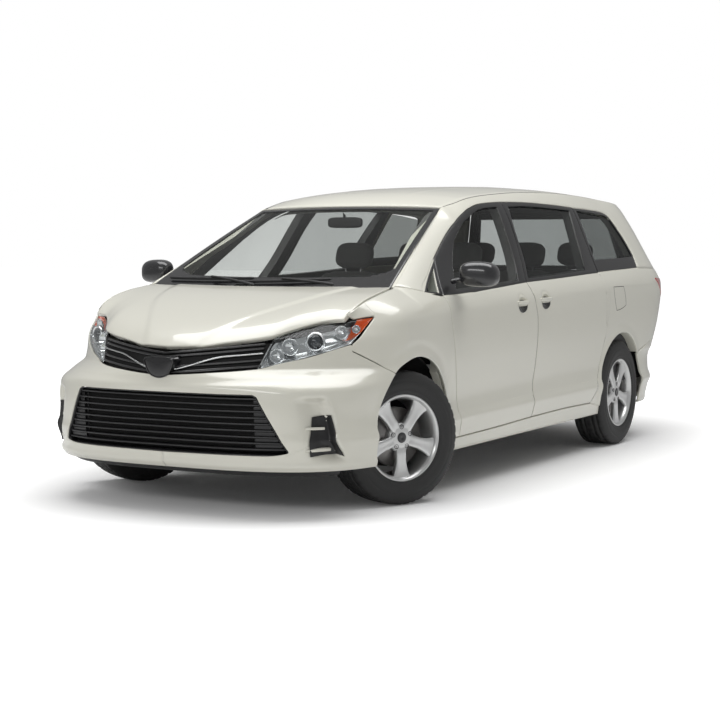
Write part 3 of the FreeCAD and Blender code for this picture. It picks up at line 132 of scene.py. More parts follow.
stage_material, tree = new_material("white_stage_with_painted_shade")
shade = add_node(tree, "BsdfDiffuse", {"Color": (0.9, 0.9, 0.9, 1)})
place = add_node(tree, "TexCoord")
oval = add_node(tree, "Mapping", {"Scale": (0.62, 1, 1), "Vector": place.outputs["Object"]})
away = add_node(tree, "VectorMath", {0: oval.outputs["Vector"]}, operation="LENGTH")
# The glow seen on the floor falls away near the van: a painted shade round and under it.
PAINTED_SHADE_FADE_FROM, PAINTED_SHADE_FADE_TO = 1.1, 3.2
GLOW_IN_PAINTED_SHADE, GLOW_PAST_PAINTED_SHADE = 0.02, 0.8
clear = add_node(tree, "MapRange", {
    "Value": away.outputs["Value"], "From Min": PAINTED_SHADE_FADE_FROM, "From Max": PAINTED_SHADE_FADE_TO,
    "To Min": GLOW_IN_PAINTED_SHADE, "To Max": GLOW_PAST_PAINTED_SHADE,
}, interpolation_type="SMOOTHSTEP")
lift = add_node(tree, "Math", {0: seen_ray(tree), 1: clear.outputs["Result"]}, operation="MULTIPLY")
glow = add_node(tree, "Emission", {"Strength": lift.outputs["Value"]})
both = add_node(tree, "AddShader", {0: shade.outputs["BSDF"], 1: glow.outputs["Emission"]})
add_node(tree, "OutputMaterial", {"Surface": both.outputs["Shader"]})
FLOOR_SIZE = 60000
floor_corners = [(x * FLOOR_SIZE, y * FLOOR_SIZE, 0) for x, y in ((-1, -1), (1, -1), (1, 1), (-1, 1))]
put_mesh("stage_floor", floor_corners, [[(0, 1, 2, 3)]], stage_material, smooth=False)

world = bpy.data.worlds.new("studio")
scene.world = world
world.use_nodes = True
background = world.node_tree.nodes["Background"]
background.inputs["Color"].default_value = (1, 1, 1, 1)
tree = world.node_tree
SURROUND_LIGHT, SURROUND_SEEN = 0.35, 1.0
level = add_node(tree, "MapRange", {
    "Value": seen_ray(tree), "To Min": SURROUND_LIGHT, "To Max": SURROUND_SEEN,
})
tree.links.new(level.outputs["Result"], background.inputs["Strength"])


def add_lamp(name, place, target, width, height, watts):
    """A soft rectangular lamp at a place in metres, turned to face its target."""
    data = bpy.data.lights.new(name, "AREA")
    data.shape = "RECTANGLE"
    data.size = width
    data.size_y = height
    data.energy = watts
    lamp = bpy.data.objects.new(name, data)
    lamp.location = place
    aim = np.array(target, float) - np.array(place, float)
    yaw = np.arctan2(aim[1], aim[0])
    tilt = np.arctan2(np.hypot(aim[0], aim[1]), -aim[2])
    lamp.rotation_euler = (tilt, 0, yaw - np.pi / 2)
    scene.collection.objects.link(lamp)


add_lamp("overhead_lamp", (0.5, 0.3, 6), (0, 0, 0), 8, 4, 385)
add_lamp("front_lamp", (8.5, 0.5, 3.4), (2, 0, 0.8), 6, 1.0, 115)

# Body sides
# Each side of the van is one painted steel pressing: pillars, roof rail, sill and rear quarter. Its surface
# is a drawn cross-section that is carried along the van and drawn in at nose and tail on rounded plan curves.
# All drawn sizes below are millimetres.
SHOULDER = [(-2547, 1105), (-1971, 1090), (-1098, 1061), (743, 1002), (1174, 980), (1600, 960), (2100, 925)]
SHOULDER_HALF_WIDTH = 988
SILL = 160
LOWER_PROFILE = [
    (0, 925), (0.08, 950), (0.16, 966), (0.23, 978), (0.3, 990), (0.355, 974),
    (0.44, 968), (0.56, 974), (0.73, 986), (0.9, 991.5), (1, SHOULDER_HALF_WIDTH),
]
BELT_RISE = 112
NOSE_START = 1700
NOSE_WIDEST_Z = 1060
NOSE_REACH = [
    (180, 700), (225, 770), (270, 795), (322, 810), (450, 835), (538, 845), (600, 847), (640, 845),
    (700, 833), (751, 818), (803, 800), (870, 770), (897, 748), (940, 655), (975, 581), (1001, 540),
    (1100, 500),
]
NOSE_SQUARENESS = [(322, 3.1), (450, 3), (640, 2.8), (700, 2.2), (751, 1.75), (803, 1.7)]
TAIL_START = -1750
TAIL_REACH = [
    (180, 700), (250, 745), (480, 797), (560, 797), (640, 770), (900, 755), (1100, 748), (1160, 735),
    (1400, 665), (1560, 610), (1690, 575),
]
TAIL_SQUARENESS = [(300, 2.5), (560, 2.6), (700, 3.5), (1000, 5)]
HOOD_FRONT = [(0, 2456), (150, 2440), (300, 2385), (527, 2284), (620, 2160), (720, 2055), (800, 2027)]
ROOF_RIDGE = [
    (-2330, 1672), (-1900, 1718), (-1500, 1740), (-1100, 1750), (-768, 1749), (-400, 1739), (-55, 1719),
    (142, 1704), (307, 1684), (419, 1662), (520, 1634), (620, 1598),
]
ROOF_HALF_WIDTH = 640
ROOF_CROWN = 45
ROOF_FRONT_X = 400
EDGE_Y = [
    (-2330, 600), (-1900, 636), (ROOF_FRONT_X, 640), (587, 621), (1494, 786), (1710, 812), (1950, 810),
    (2027, 800),
]
WINDSHIELD_BASE_X = 1494
WINDSHIELD_TOP_X = 587
WINDSHIELD_BASE_Z = 1148
WINDSHIELD_TOP_Z = 1584


def through(points, t):
    """Values of a smooth curve through (t, value) points: cubic between neighbours, with the harmonic mean
    of the slopes on both sides as its slope at a point, so it never overshoots, and level past both ends."""
    knots, values = np.array(points, float).T
    t = np.clip(t, knots[0], knots[-1])
    slopes = np.diff(values) / np.diff(knots)
    before, after = slopes[:-1], slopes[1:]
    same_way = before * after > 0
    inner = np.where(same_way, 2 * before * after / np.where(same_way, before + after, 1), 0)
    tangents = np.concatenate([slopes[:1], inner, slopes[-1:]])
    k = np.clip(np.searchsorted(knots, t, side="left") - 1, 0, len(knots) - 2)
    span = knots[k + 1] - knots[k]
    s = (t - knots[k]) / span
    rise = (3 - 2 * s) * s * s
    ease_in = tangents[k] * span * s * (1 - s) ** 2
    ease_out = tangents[k + 1] * span * s * s * (1 - s)
    return values[k] + (values[k + 1] - values[k]) * rise + ease_in - ease_out


def bell(value, middle, width):
    """A bell curve: the exponential of minus the square of the distance from its middle over its width."""
    return np.exp(-(((value - middle) / width) ** 2))


def hood_z(x, y):
    """Height of the hood: a flat parabola, less a roll that fades away from the front edge."""
    back = x - 1500
    ahead = np.maximum(through(HOOD_FRONT, np.abs(y)) - x, 0)
    return 1142 - 0.1 * back - 0.000165 * back * back - 55 * np.exp(-ahead / 80)


def roof_z(x, y):
    """Height of the roof: its ridge line, less a crown that grows with the power 2.5 towards the sides."""
    return through(ROOF_RIDGE, x) - ROOF_CROWN * (np.abs(y) / ROOF_HALF_WIDTH) ** 2.5


def edge_y(x):
    """Half width of the body side's upper edge."""
    return through(EDGE_Y, x)


def edge_z(x):
    """Height of the body side's upper edge: roof joint, then the windshield's side, then the hood's side."""
    x = np.asarray(x, float)
    corner = roof_z(ROOF_FRONT_X, edge_y(ROOF_FRONT_X))
    header = (x - ROOF_FRONT_X) / (WINDSHIELD_TOP_X - ROOF_FRONT_X)
    glass = (x - WINDSHIELD_TOP_X) / (WINDSHIELD_BASE_X - WINDSHIELD_TOP_X)
    return np.select(
        [x < ROOF_FRONT_X, x < WINDSHIELD_TOP_X, x < WINDSHIELD_BASE_X],
        [
            roof_z(x, edge_y(x)),
            (1 - header) * corner + header * WINDSHIELD_TOP_Z,
            (1 - glass) * WINDSHIELD_TOP_Z + glass * WINDSHIELD_BASE_Z,
        ],
        hood_z(x, edge_y(x)),
    )


def end_taper(x, z):
    """Share of the half width left at a station: 1 in mid-body, then a superellipse at nose and tail."""
    nose = np.clip((x - NOSE_START) / through(NOSE_REACH, z), 0, 1)
    tail = np.clip((TAIL_START - x) / through(TAIL_REACH, z), 0, 1)
    power = np.where(x > NOSE_START, through(NOSE_SQUARENESS, z), through(TAIL_SQUARENESS, z))
    return (1 - np.maximum(nose, tail) ** power) ** (1 / power)


def side_profile(x, z):
    """Half width before the ends draw in: the lower profile up to the shoulder crease, a power curve to the
    belt, then the glass region, which leans in to the upper edge and rounds over at the very top."""
    x, z = np.broadcast_arrays(np.asarray(x, float), np.asarray(z, float))
    crease = through(SHOULDER, x)
    lower = through(LOWER_PROFILE, (z - SILL) / (crease - SILL))
    top = edge_z(x)
    rise = top - crease
    ahead = x > NOSE_START
    edge = edge_y(x) / np.where(ahead, np.maximum(end_taper(x, top), 0.3), 1)
    forward = np.clip((x - 1000) / 494, 0, 1)
    cabin = x < WINDSHIELD_BASE_X
    belt_rise = np.where(cabin, BELT_RISE, 0.612 * rise)
    belt_y = np.where(cabin, 938 - 18.5 * forward, SHOULDER_HALF_WIDTH - 0.339 * (SHOULDER_HALF_WIDTH - edge))
    power = np.where(cabin, 1.6 + 0.6 * forward, 2.2)
    s = np.maximum(z - crease, 0)
    shoulder = SHOULDER_HALF_WIDTH - (SHOULDER_HALF_WIDTH - belt_y) * (s / belt_rise) ** power
    r = np.clip((s - belt_rise) / np.maximum(rise - belt_rise, 1), 0, 1)
    glass = belt_y + (edge - belt_y) * (0.85 * r + 0.15 * r**8)
    return np.where(z <= crease, lower, np.where(s <= belt_rise, shoulder, glass))


def side_surface(x, z):
    """Points of the left side over base (x, z)."""
    x, z = np.broadcast_arrays(np.asarray(x, float), np.asarray(z, float))
    return np.stack([x, side_profile(x, z) * end_taper(x, z), z], axis=-1)


def end_surface(start, sign, reach, power, half_width, angle, z):
    """Points of a nose or tail plan curve seen at an angle from its centre: the radius that solves the
    superellipse of the given reach, half width and power."""
    c = np.maximum(np.cos(angle), 1e-9)
    s = np.abs(np.sin(angle))
    r = ((c / reach) ** power + (s / half_width) ** power) ** (-1 / power)
    return np.stack([start + sign * r * c, r * np.sin(angle), z + 0 * r], axis=-1)


def nose_surface(angle, z):
    """Points of the nose at an angle in radians (0 ahead, 90 degrees at the left side) and a height."""
    width = side_profile(NOSE_START, np.minimum(z, NOSE_WIDEST_Z))
    return end_surface(NOSE_START, 1, through(NOSE_REACH, z), through(NOSE_SQUARENESS, z), width, angle, z)


def tail_surface(angle, z):
    """Points of the tail at an angle in radians (0 behind, 90 degrees at the left side) and a height."""
    width = side_profile(TAIL_START, z)
    return end_surface(TAIL_START, -1, through(TAIL_REACH, z), through(TAIL_SQUARENESS, z), width, angle, z)


# The drawn lines on the side, as base (x, z): the window line, the belt under it and the door gaps
ARCH_RISE = 20
WHEEL_RADIUS = 357
FRONT_AXLE_X = 1592
REAR_AXLE_X = -1438
FRONT_ARCH_RADIUS = 402
REAR_ARCH_RADIUS = 390
WINDSHIELD_FOOT = (WINDSHIELD_BASE_X, WINDSHIELD_BASE_Z)
BELT_LINE = [
    (1345, 1112), (1250, 1096), (1186, 1089), (946, 1095), (714, 1109), (443, 1123), (75, 1143), (-445, 1158),
    (-960, 1176), (-1095, 1180), (-1292, 1186), (-1634, 1194), (-1850, 1200),
]
WINDOW_LINE = [
    (1345, 1112), (1337, 1124), (1179, 1203), (1015, 1290), (937, 1328), (629, 1480), (480, 1545),
    (380, 1580), (213, 1612), (-1, 1626), (-85, 1629), (-372, 1633), (-860, 1624), (-1120, 1614),
    (-1158, 1612),
    (-1430, 1604), (-1640, 1593), (-1740, 1576), (-1790, 1548), (-1836, 1482), (-1880, 1391), (-1893, 1300),
    (-1850, 1200),
]
FRONT_DOOR_LOWER_EDGE = [
    (1057, 303), (1082, 450), (1105, 600), (1148, 778), (1186, 911), (1200, 985), (1186, 1089),
]
FRONT_DOOR_UPPER_EDGE = [(1186, 1089), (1120, 1170), (1050, 1250), (1015, 1290)]
CENTRE_GAP_LOWER = [(68, 325), (50, 510), (18, 660), (12, 823), (22, 928), (58, 1050), (75, 1143)]
CENTRE_GAP_UPPER = [(75, 1143), (18, 1274), (-45, 1440), (-85, 1629)]
REAR_GAP_LOWER = [
    (-880, 330), (-940, 380), (-1000, 470), (-1062, 590), (-1114, 724), (-1172, 906), (-1190, 1025),
    (-1160, 1098), (-1095, 1180),
]
REAR_GAP_UPPER = [(-1095, 1180), (-1120, 1404), (-1158, 1612)]
DOOR_FOOT = [(1057, 303), (560, 311), (68, 325), (-500, 333), (-880, 330)]
HALF_GAP = 2.5
SKIN_PROUD = 2


def drawn(segments, count, smooth=True):
    """Points along a line of joined segments, with every joint kept as a sharp corner. Within a segment the
    curve is a smooth one through its drawn points, by chord length. The count is shared out by length."""
    chords = []
    for segment in segments:
        steps = np.linalg.norm(np.diff(np.array(segment, float), axis=0), axis=1)
        chords.append(np.concatenate([[0], np.cumsum(steps)]))
    total = sum(chord[-1] for chord in chords)
    shares = [max(int(round((count - 1) * chord[-1] / total)), 1) for chord in chords]
    shares[int(np.argmax(shares))] += count - 1 - sum(shares)
    rows = []
    for segment, chord, share in zip(segments, chords, shares):
        at = np.linspace(0, chord[-1], share + 1)
        points = np.array(segment, float)
        if smooth and len(segment) > 2:
            line = np.stack([through(np.stack([chord, points[:, k]], 1), at) for k in range(2)], 1)
        else:
            line = np.stack([np.interp(at, chord, points[:, k]) for k in range(2)], 1)
        rows.append(line if not rows else line[1:])
    return np.concatenate(rows)


def spread(bottom, top, left, right):
    """Coons patch between four sampled lines: two ruled sheets added, less the one through the corners."""
    u = np.linspace(0, 1, len(bottom))[None, :, None]
    v = np.linspace(0, 1, len(left))[:, None, None]
    ruled = (1 - v) * bottom[None] + v * top[None] + (1 - u) * left[:, None] + u * right[:, None]
    low = (1 - u) * bottom[0] + u * bottom[-1]
    high = (1 - u) * top[0] + u * top[-1]
    return ruled - (1 - v) * low - v * high


def patch(bottom, top, counts, left=None, right=None, place=None):
    """A plan grid between four lines, each drawn points or an array of sampled ones. A side that isn't given
    is straight. Where a map is given, the sampled lines go through it to plan coordinates."""
    left = [bottom[0], top[0]] if left is None else left
    right = [bottom[-1], top[-1]] if right is None else right
    across, up = counts
    lines = []
    for line, count in ((bottom, across), (top, across), (left, up), (right, up)):
        sampled = line if isinstance(line, np.ndarray) else drawn([line], count)
        lines.append(sampled if place is None else place(sampled))
    return spread(*lines)


ROLL_INSETS = HALF_GAP + np.array([0.0, 0.0, 0.0, 1.2, 4.0])
ROLL_DEPTHS = np.array([12.0, 7.0, 4.0, 1.2, 0.0])


def rolled(plan, edges=(1, 1, 1, 1)):
    """The plan grid with rolled borders put in: rows at insets along a quarter round of 4 mm, then a flange.
    Gives the grid and the depth of each point; edges switches the first and last rows and columns."""
    depth = np.zeros(plan.shape[:2])
    for axis in (0, 1):
        for end in (0, 1):
            if not edges[2 * axis + end]:
                continue
            plan = np.flip(plan, axis) if end else plan
            depth = np.flip(depth, axis) if end else depth
            first, second = np.take(plan, 0, axis), np.take(plan, 1, axis)
            length = np.maximum(np.linalg.norm(second - first, axis=-1, keepdims=True), 1e-6)
            rows = [first + (second - first) * np.minimum(inset / length, 0.9) for inset in ROLL_INSETS]
            drops = [np.maximum(np.take(depth, 0, axis), drop) for drop in ROLL_DEPTHS]
            plan = np.concatenate([np.stack(rows, axis), np.delete(plan, 0, axis)], axis)
            depth = np.concatenate([np.stack(drops, axis), np.delete(depth, 0, axis)], axis)
            plan = np.flip(plan, axis) if end else plan
            depth = np.flip(depth, axis) if end else depth
    return plan, depth


SPINE_REACH = 1500
SPINE_Z = 800


def lifted(surface, plan, depth, step=(1.0, 1.0)):
    """Points of a surface over plan coordinates, sunk by a depth along the normal that points to the van's
    lengthwise spine."""
    a, b = plan[..., 0], plan[..., 1]
    points = surface(a, b)
    across = surface(a + step[0], b) - surface(a - step[0], b)
    up = surface(a, b + step[1]) - surface(a, b - step[1])
    normal = np.cross(across, up)
    normal /= np.linalg.norm(normal, axis=-1, keepdims=True)
    centre = np.stack([np.clip(points[..., 0], -SPINE_REACH, SPINE_REACH), 0 * a, SPINE_Z + 0 * a], -1)
    normal *= np.sign(np.sum(normal * (points - centre), -1, keepdims=True))
    return points - normal * np.asarray(depth)[..., None]


def grid_faces(rows, columns, wrap_rows=False, wrap_columns=False):
    """Corner numbers of the quads of a grid, closed round in either direction where asked."""
    r = np.arange(rows if wrap_rows else rows - 1)[:, None]
    c = np.arange(columns if wrap_columns else columns - 1)[None, :]
    r2, c2 = (r + 1) % rows, (c + 1) % columns
    quads = [r * columns + c, r * columns + c2, r2 * columns + c2, r2 * columns + c]
    return np.stack(np.broadcast_arrays(*quads), -1).reshape(-1, 4)


def shell(outer, inner):
    """Points and faces of a closed sheet between two grids, with its four borders bridged."""
    rows, columns = outer.shape[:2]
    number = np.arange(rows * columns).reshape(rows, columns)
    rim = np.concatenate([number[0, :-1], number[:-1, -1], number[-1, :0:-1], number[:0:-1, 0]])
    after = np.roll(rim, -1)
    faces = grid_faces(rows, columns)
    other = faces[:, ::-1] + rows * columns
    bridge = np.stack([after, rim, rim + rows * columns, after + rows * columns], -1)
    points = np.concatenate([outer.reshape(-1, 3), inner.reshape(-1, 3)])
    faces = np.concatenate([faces, other, bridge])
    middle = outer[rows // 2, columns // 2]
    across = outer[rows // 2, columns // 2 + 1] - middle
    up = outer[rows // 2 + 1, columns // 2] - middle
    out_of_it = middle - inner[rows // 2, columns // 2]
    if np.dot(np.cross(across, up), out_of_it) < 0:
        faces = faces[:, ::-1]
    return points, faces


def slab(surface, plan, outer_depth, inner_depth, step=(1.0, 1.0)):
    """A closed sheet between two depths under a surface."""
    return shell(lifted(surface, plan, outer_depth, step), lifted(surface, plan, inner_depth, step))


def outward(part):
    """The same closed mesh with its faces turned to point out, told by the sign of its volume."""
    points, faces = part
    a, b, c, d = (points[faces[:, k]] for k in range(4))
    volume = np.sum(np.cross(b - a, c - a) * a) + np.sum(np.cross(c - a, d - a) * a)
    return (points, faces) if volume > 0 else (points, faces[:, ::-1])


def join(shells):
    """One set of points and faces from several."""
    points, faces, start = [], [], 0
    for part_points, part_faces in shells:
        points.append(part_points)
        faces.append(part_faces + start)
        start += len(part_points)
    return np.concatenate(points), np.concatenate(faces)


def other_side(part):
    """The mirror image of points and faces across the centre line, still facing outwards."""
    points, faces = part
    return points * [1, -1, 1], faces[:, ::-1]


def both_sides(part):
    """A left part and its mirror image on the right, as one."""
    return join([part, other_side(part)])


def sheet_metal(surface, plan, edges=(1, 1, 1, 1), relief=None, proud=SKIN_PROUD, thickness=1.6):
    """A thin closed panel over the CAD's skin: rolled at its borders, raised where a relief says."""
    plan, depth = rolled(plan, edges)
    if relief is not None:
        depth = depth - relief(plan)
    return slab(surface, plan, depth - proud, np.maximum(depth - proud, -proud) + thickness)


def fit(name, part, material, body, slot, *nodes):
    """A piece from points and faces. It rides on a body, takes a material and stands for CAD nodes; the slot
    is not used.
    """
    points, faces = part
    piece = put_mesh(name, points, faces if isinstance(faces, list) else [faces], material)
    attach(piece, body)
    if nodes:
        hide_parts(*nodes)
    return piece


def fit_pair(name, part, material, body, slot, *nodes):
    """The left piece and its mirror image on the right. A star in the name of a body or node is the hand."""
    pieces = []
    for hand, turn in (("left", lambda same: same), ("right", other_side)):
        stood_for = [node.replace("*", hand) for node in nodes]
        pieces.append(fit(name + "_" + hand, turn(part), material, body.replace("*", hand), slot, *stood_for))
    return pieces


# Pearl paint: a cream base, a fine sparkle in the colour and a clear coat
PAINT_CREAM = (0.64, 0.63, 0.55, 1)
PAINT_LIGHT = (0.68, 0.67, 0.595, 1)
paint, tree = new_material("pearl_white_paint")
place = add_node(tree, "TexCoord")
sparkle = add_node(tree, "TexNoise", {"Scale": 900, "Detail": 2, "Vector": place.outputs["Object"]})
tint = add_node(
    tree, "Mix", {"A": PAINT_CREAM, "B": PAINT_LIGHT, "Factor": sparkle.outputs["Fac"]}, data_type="RGBA"
)
shade = add_node(tree, "BsdfPrincipled", {
    "Base Color": tint.outputs["Result"], "Roughness": 0.32, "Coat Weight": 0.8, "Coat Roughness": 0.05,
})
add_node(tree, "OutputMaterial", {"Surface": shade.outputs["BSDF"]})


def arch(axle_x, radius, angle_from, angle_to, count):
    """Points of a wheel arch's edge between two angles in degrees, as seen from the left, 0 ahead."""
    turn = np.radians(np.linspace(angle_from, angle_to, count))
    return np.stack([axle_x + radius * np.cos(turn), WHEEL_RADIUS + ARCH_RISE + radius * np.sin(turn)], -1)


def flare(axle_x, radius, lift=6):
    """Relief of a wheel arch's lip: a soft swell at the edge and a faint hollow behind it."""

    def relief(plan):
        away = np.hypot(plan[..., 0] - axle_x, plan[..., 1] - WHEEL_RADIUS - ARCH_RISE) - radius
        return lift * bell(away, 0, 26) - 2 * bell(away, 62, 22)

    return relief


# Side panels: the plan coordinate of the tail runs on past its start by arc length, 18 mm to a degree
TAIL_STEP = 18


def wrap_surface(s, z):
    """The left side and, past the tail's start, the tail: there the station is turned into a plan angle."""
    s, z = np.broadcast_arrays(np.asarray(s, float), np.asarray(z, float))
    side = side_surface(np.maximum(s, TAIL_START), z)
    tail = tail_surface(np.radians(90 - (TAIL_START - np.minimum(s, TAIL_START)) / TAIL_STEP), z)
    return np.where((s < TAIL_START)[..., None], tail, side)


def tail_station(points, from_behind=False):
    """Plan coordinates of drawn (x, z) points on the side, or of (y, z) points seen from behind."""
    rows = []
    for first, z in points:
        reach, power = through(TAIL_REACH, z), through(TAIL_SQUARENESS, z)
        width = float(side_profile(TAIL_START, z))
        if from_behind:
            x = TAIL_START - reach * (1 - (first / width) ** power) ** (1 / power)
            y = first
        elif first >= TAIL_START:
            rows.append((first, z))
            continue
        else:
            x = first
            y = width * max(1 - ((TAIL_START - x) / reach) ** power, 0) ** (1 / power)
        angle = np.degrees(np.arctan2(y, TAIL_START - x))
        rows.append((TAIL_START - (90 - angle) * TAIL_STEP, float(z)))
    return rows


# Front fender: a fan between the wheel arch and the door, belt, hood and lamp edges, and a small wing that
# runs on between the hood's side and the headlamp's upper edge
BUMPER_SEAM = [(1823, 706), (1959, 784), (2050, 838)]


def nose_station(y, z):
    """Station of a point of the nose surface over front-view (y, z)."""
    width = side_profile(NOSE_START, np.minimum(z, NOSE_WIDEST_Z))
    power = through(NOSE_SQUARENESS, z)
    return NOSE_START + through(NOSE_REACH, z) * (1 - (np.abs(y) / width) ** power) ** (1 / power)


LAMP_TIP = (885, 1001)
tip_x = float(nose_station(*LAMP_TIP))
hood_side = [(x, float(edge_z(x))) for x in (WINDSHIELD_BASE_X, 1600, 1710, 1830, tip_x)]
lamp_rear = [(float(nose_station(y, z)), z) for y, z in (LAMP_TIP, (845, 870))]
fender_outer = drawn([
    FRONT_DOOR_LOWER_EDGE, BELT_LINE[2::-1], [BELT_LINE[0], WINDSHIELD_FOOT], hood_side,
    [hood_side[-1], lamp_rear[0]], lamp_rear, [lamp_rear[-1], BUMPER_SEAM[-1]],
], 130)
fender_inner = arch(FRONT_AXLE_X, FRONT_ARCH_RADIUS, 191, 54.9, 130)
fender_foot = [tuple(fender_inner[0]), DOOR_FOOT[0]]
fender_plan = patch(fender_inner, fender_outer, (130, 32), fender_foot, BUMPER_SEAM)
wing_top = [(x, float(edge_z(x))) for x in (tip_x - 8, 1940, 1975, 2005)]
wing_foot = [
    (tip_x - 8, lamp_rear[0][1] + 3),
    (float(nose_station(845, 998)), 997),
    (float(nose_station(806, 991)), 991),
]
wing_plan = patch(wing_foot, wing_top, (24, 12))
fender_skin = join([
    sheet_metal(side_surface, fender_plan, relief=flare(FRONT_AXLE_X, FRONT_ARCH_RADIUS)),
    sheet_metal(side_surface, wing_plan, edges=(1, 1, 0, 1), proud=SKIN_PROUD + 0.1),
])
fenders = fit_pair("fender_skin", fender_skin, paint, "body", "pearl_paint")
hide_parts("front_fenders")

# Quarter panel: the same fan round the rear wheel, on round the corner to the liftgate
GATE_EDGE = [(700, 706), (715, 1100), (690, 1180), (660, 1300), (620, 1450), (590, 1560), (568, 1650)]
gate_edge = tail_station(GATE_EDGE, from_behind=True)
rear_bumper_line = tail_station([(-1761, 606), (-1860, 640), (-2150, 700), (-2350, 706)]) + gate_edge[:1]
quarter_outer = drawn([
    REAR_GAP_LOWER, BELT_LINE[9:], [BELT_LINE[-1], gate_edge[2]], gate_edge[2::-1],
], 130)
quarter_inner = arch(REAR_AXLE_X, REAR_ARCH_RADIUS, -12.1, 144, 130)
quarter_foot = [tuple(quarter_inner[0]), REAR_GAP_LOWER[0]]
quarter_seam = [tuple(quarter_inner[-1])] + rear_bumper_line[1:]
quarter_plan = patch(quarter_inner, quarter_outer, (130, 38), quarter_foot, quarter_seam)
quarter_skin = sheet_metal(wrap_surface, quarter_plan, relief=flare(REAR_AXLE_X, REAR_ARCH_RADIUS))

# Pillars and roof rail: one strip between the window line and the windshield, roof and liftgate
WINDSHIELD_HEAD = (WINDSHIELD_TOP_X, WINDSHIELD_TOP_Z)
rail_top = [(x, float(edge_z(x))) for x in (WINDSHIELD_TOP_X, 500, 400, 200, -100, -500, -900, -1300, -1700)]
rail_top += tail_station([(x, float(edge_z(x)) - 1) for x in (-1800, -2000, -2174)])
rail_outer = drawn([
    [WINDSHIELD_FOOT, WINDSHIELD_HEAD], rail_top, [rail_top[-1], gate_edge[-1]], gate_edge[:1:-1],
], 180)
rail_plan = patch(
    WINDOW_LINE, rail_outer, (180, 12), [BELT_LINE[0], WINDSHIELD_FOOT], [BELT_LINE[-1], gate_edge[2]]
)
rail_skin = sheet_metal(wrap_surface, rail_plan, edges=(1, 1, 1, 0))

# Sill under the doors
SILL_BOTTOM = 240
SILL_FRONT_X = 1197
SILL_REAR_X = -1057
sill_ends = [[(x, SILL_BOTTOM), (x, 300)] for x in (SILL_FRONT_X, SILL_REAR_X)]
sill_outer = drawn([[sill_ends[0][1], DOOR_FOOT[0]], DOOR_FOOT, [DOOR_FOOT[-1], sill_ends[1][1]]], 80)
sill_plan = patch([sill_ends[0][0], sill_ends[1][0]], sill_outer, (80, 8), *sill_ends)
side_skin = join([quarter_skin, rail_skin, sheet_metal(side_surface, sill_plan)])
fit_pair("side_skin", side_skin, paint, "body", "pearl_paint")

# Front and sliding doors
# Each door is a hollow steel box with a painted outer panel and a black window frame above the belt. The
# grips' cups are pressed into the panels.
CUP_RADIUS = 120
CUP_DEPTH = 16
HANDLE_PLACES = [(239, 1015), (-106, 1025)]


def cup(plan):
    """Relief of the handle cups: a shallow cap of a sphere pressed in behind each grip."""
    relief = 0
    for x, z in HANDLE_PLACES:
        away = np.hypot((plan[..., 0] - x) * 0.9, plan[..., 1] - z)
        cap = np.sqrt(np.maximum(CUP_RADIUS**2 - away**2, 0)) - CUP_RADIUS + CUP_DEPTH
        relief = relief - np.maximum(cap, 0)
    return relief


front_door_plan = patch(DOOR_FOOT[:3], BELT_LINE[2:7], (76, 64), FRONT_DOOR_LOWER_EDGE, CENTRE_GAP_LOWER)
sliding_door_plan = patch(DOOR_FOOT[2:], BELT_LINE[6:10], (76, 64), CENTRE_GAP_LOWER, REAR_GAP_LOWER)
front_door_skin = sheet_metal(side_surface, front_door_plan, relief=cup)
sliding_door_skin = sheet_metal(side_surface, sliding_door_plan, relief=cup)
fit_pair("front_door_skin", front_door_skin, paint, "door_*", "pearl_paint")
fit_pair("sliding_door_skin", sliding_door_skin, paint, "body", "pearl_paint")

# Windows
# The side windows are curved safety glass in black-painted door frames and pillars. The glass lies a little
# below the skin and its border is printed black. The rear side windows are tinted.
GRAIN_HEIGHT = 0.001
ROUGHNESS_SWING = 0.05
HAZE_SWING = 0.015


def plain_material(name, colour, roughness, metallic=0.0, grain=0.0, grain_scale=300.0, coat=0.0):
    """A one-colour finish whose roughness and fine relief vary with a noise over the object's coordinates."""
    material, tree = new_material(name)
    place = add_node(tree, "TexCoord")
    noise = add_node(tree, "TexNoise", {"Scale": grain_scale, "Detail": 3, "Vector": place.outputs["Object"]})
    rough = add_node(tree, "MapRange", {
        "Value": noise.outputs["Fac"],
        "To Min": max(roughness - ROUGHNESS_SWING, 0), "To Max": roughness + ROUGHNESS_SWING,
    })
    shade = add_node(tree, "BsdfPrincipled", {
        "Base Color": (*colour, 1), "Metallic": metallic, "Coat Weight": coat,
        "Roughness": rough.outputs["Result"],
    })
    if grain:
        relief = add_node(
            tree, "Bump", {"Strength": grain, "Distance": GRAIN_HEIGHT, "Height": noise.outputs["Fac"]}
        )
        tree.links.new(relief.outputs["Normal"], shade.inputs["Normal"])
    add_node(tree, "OutputMaterial", {"Surface": shade.outputs["BSDF"]})
    return material


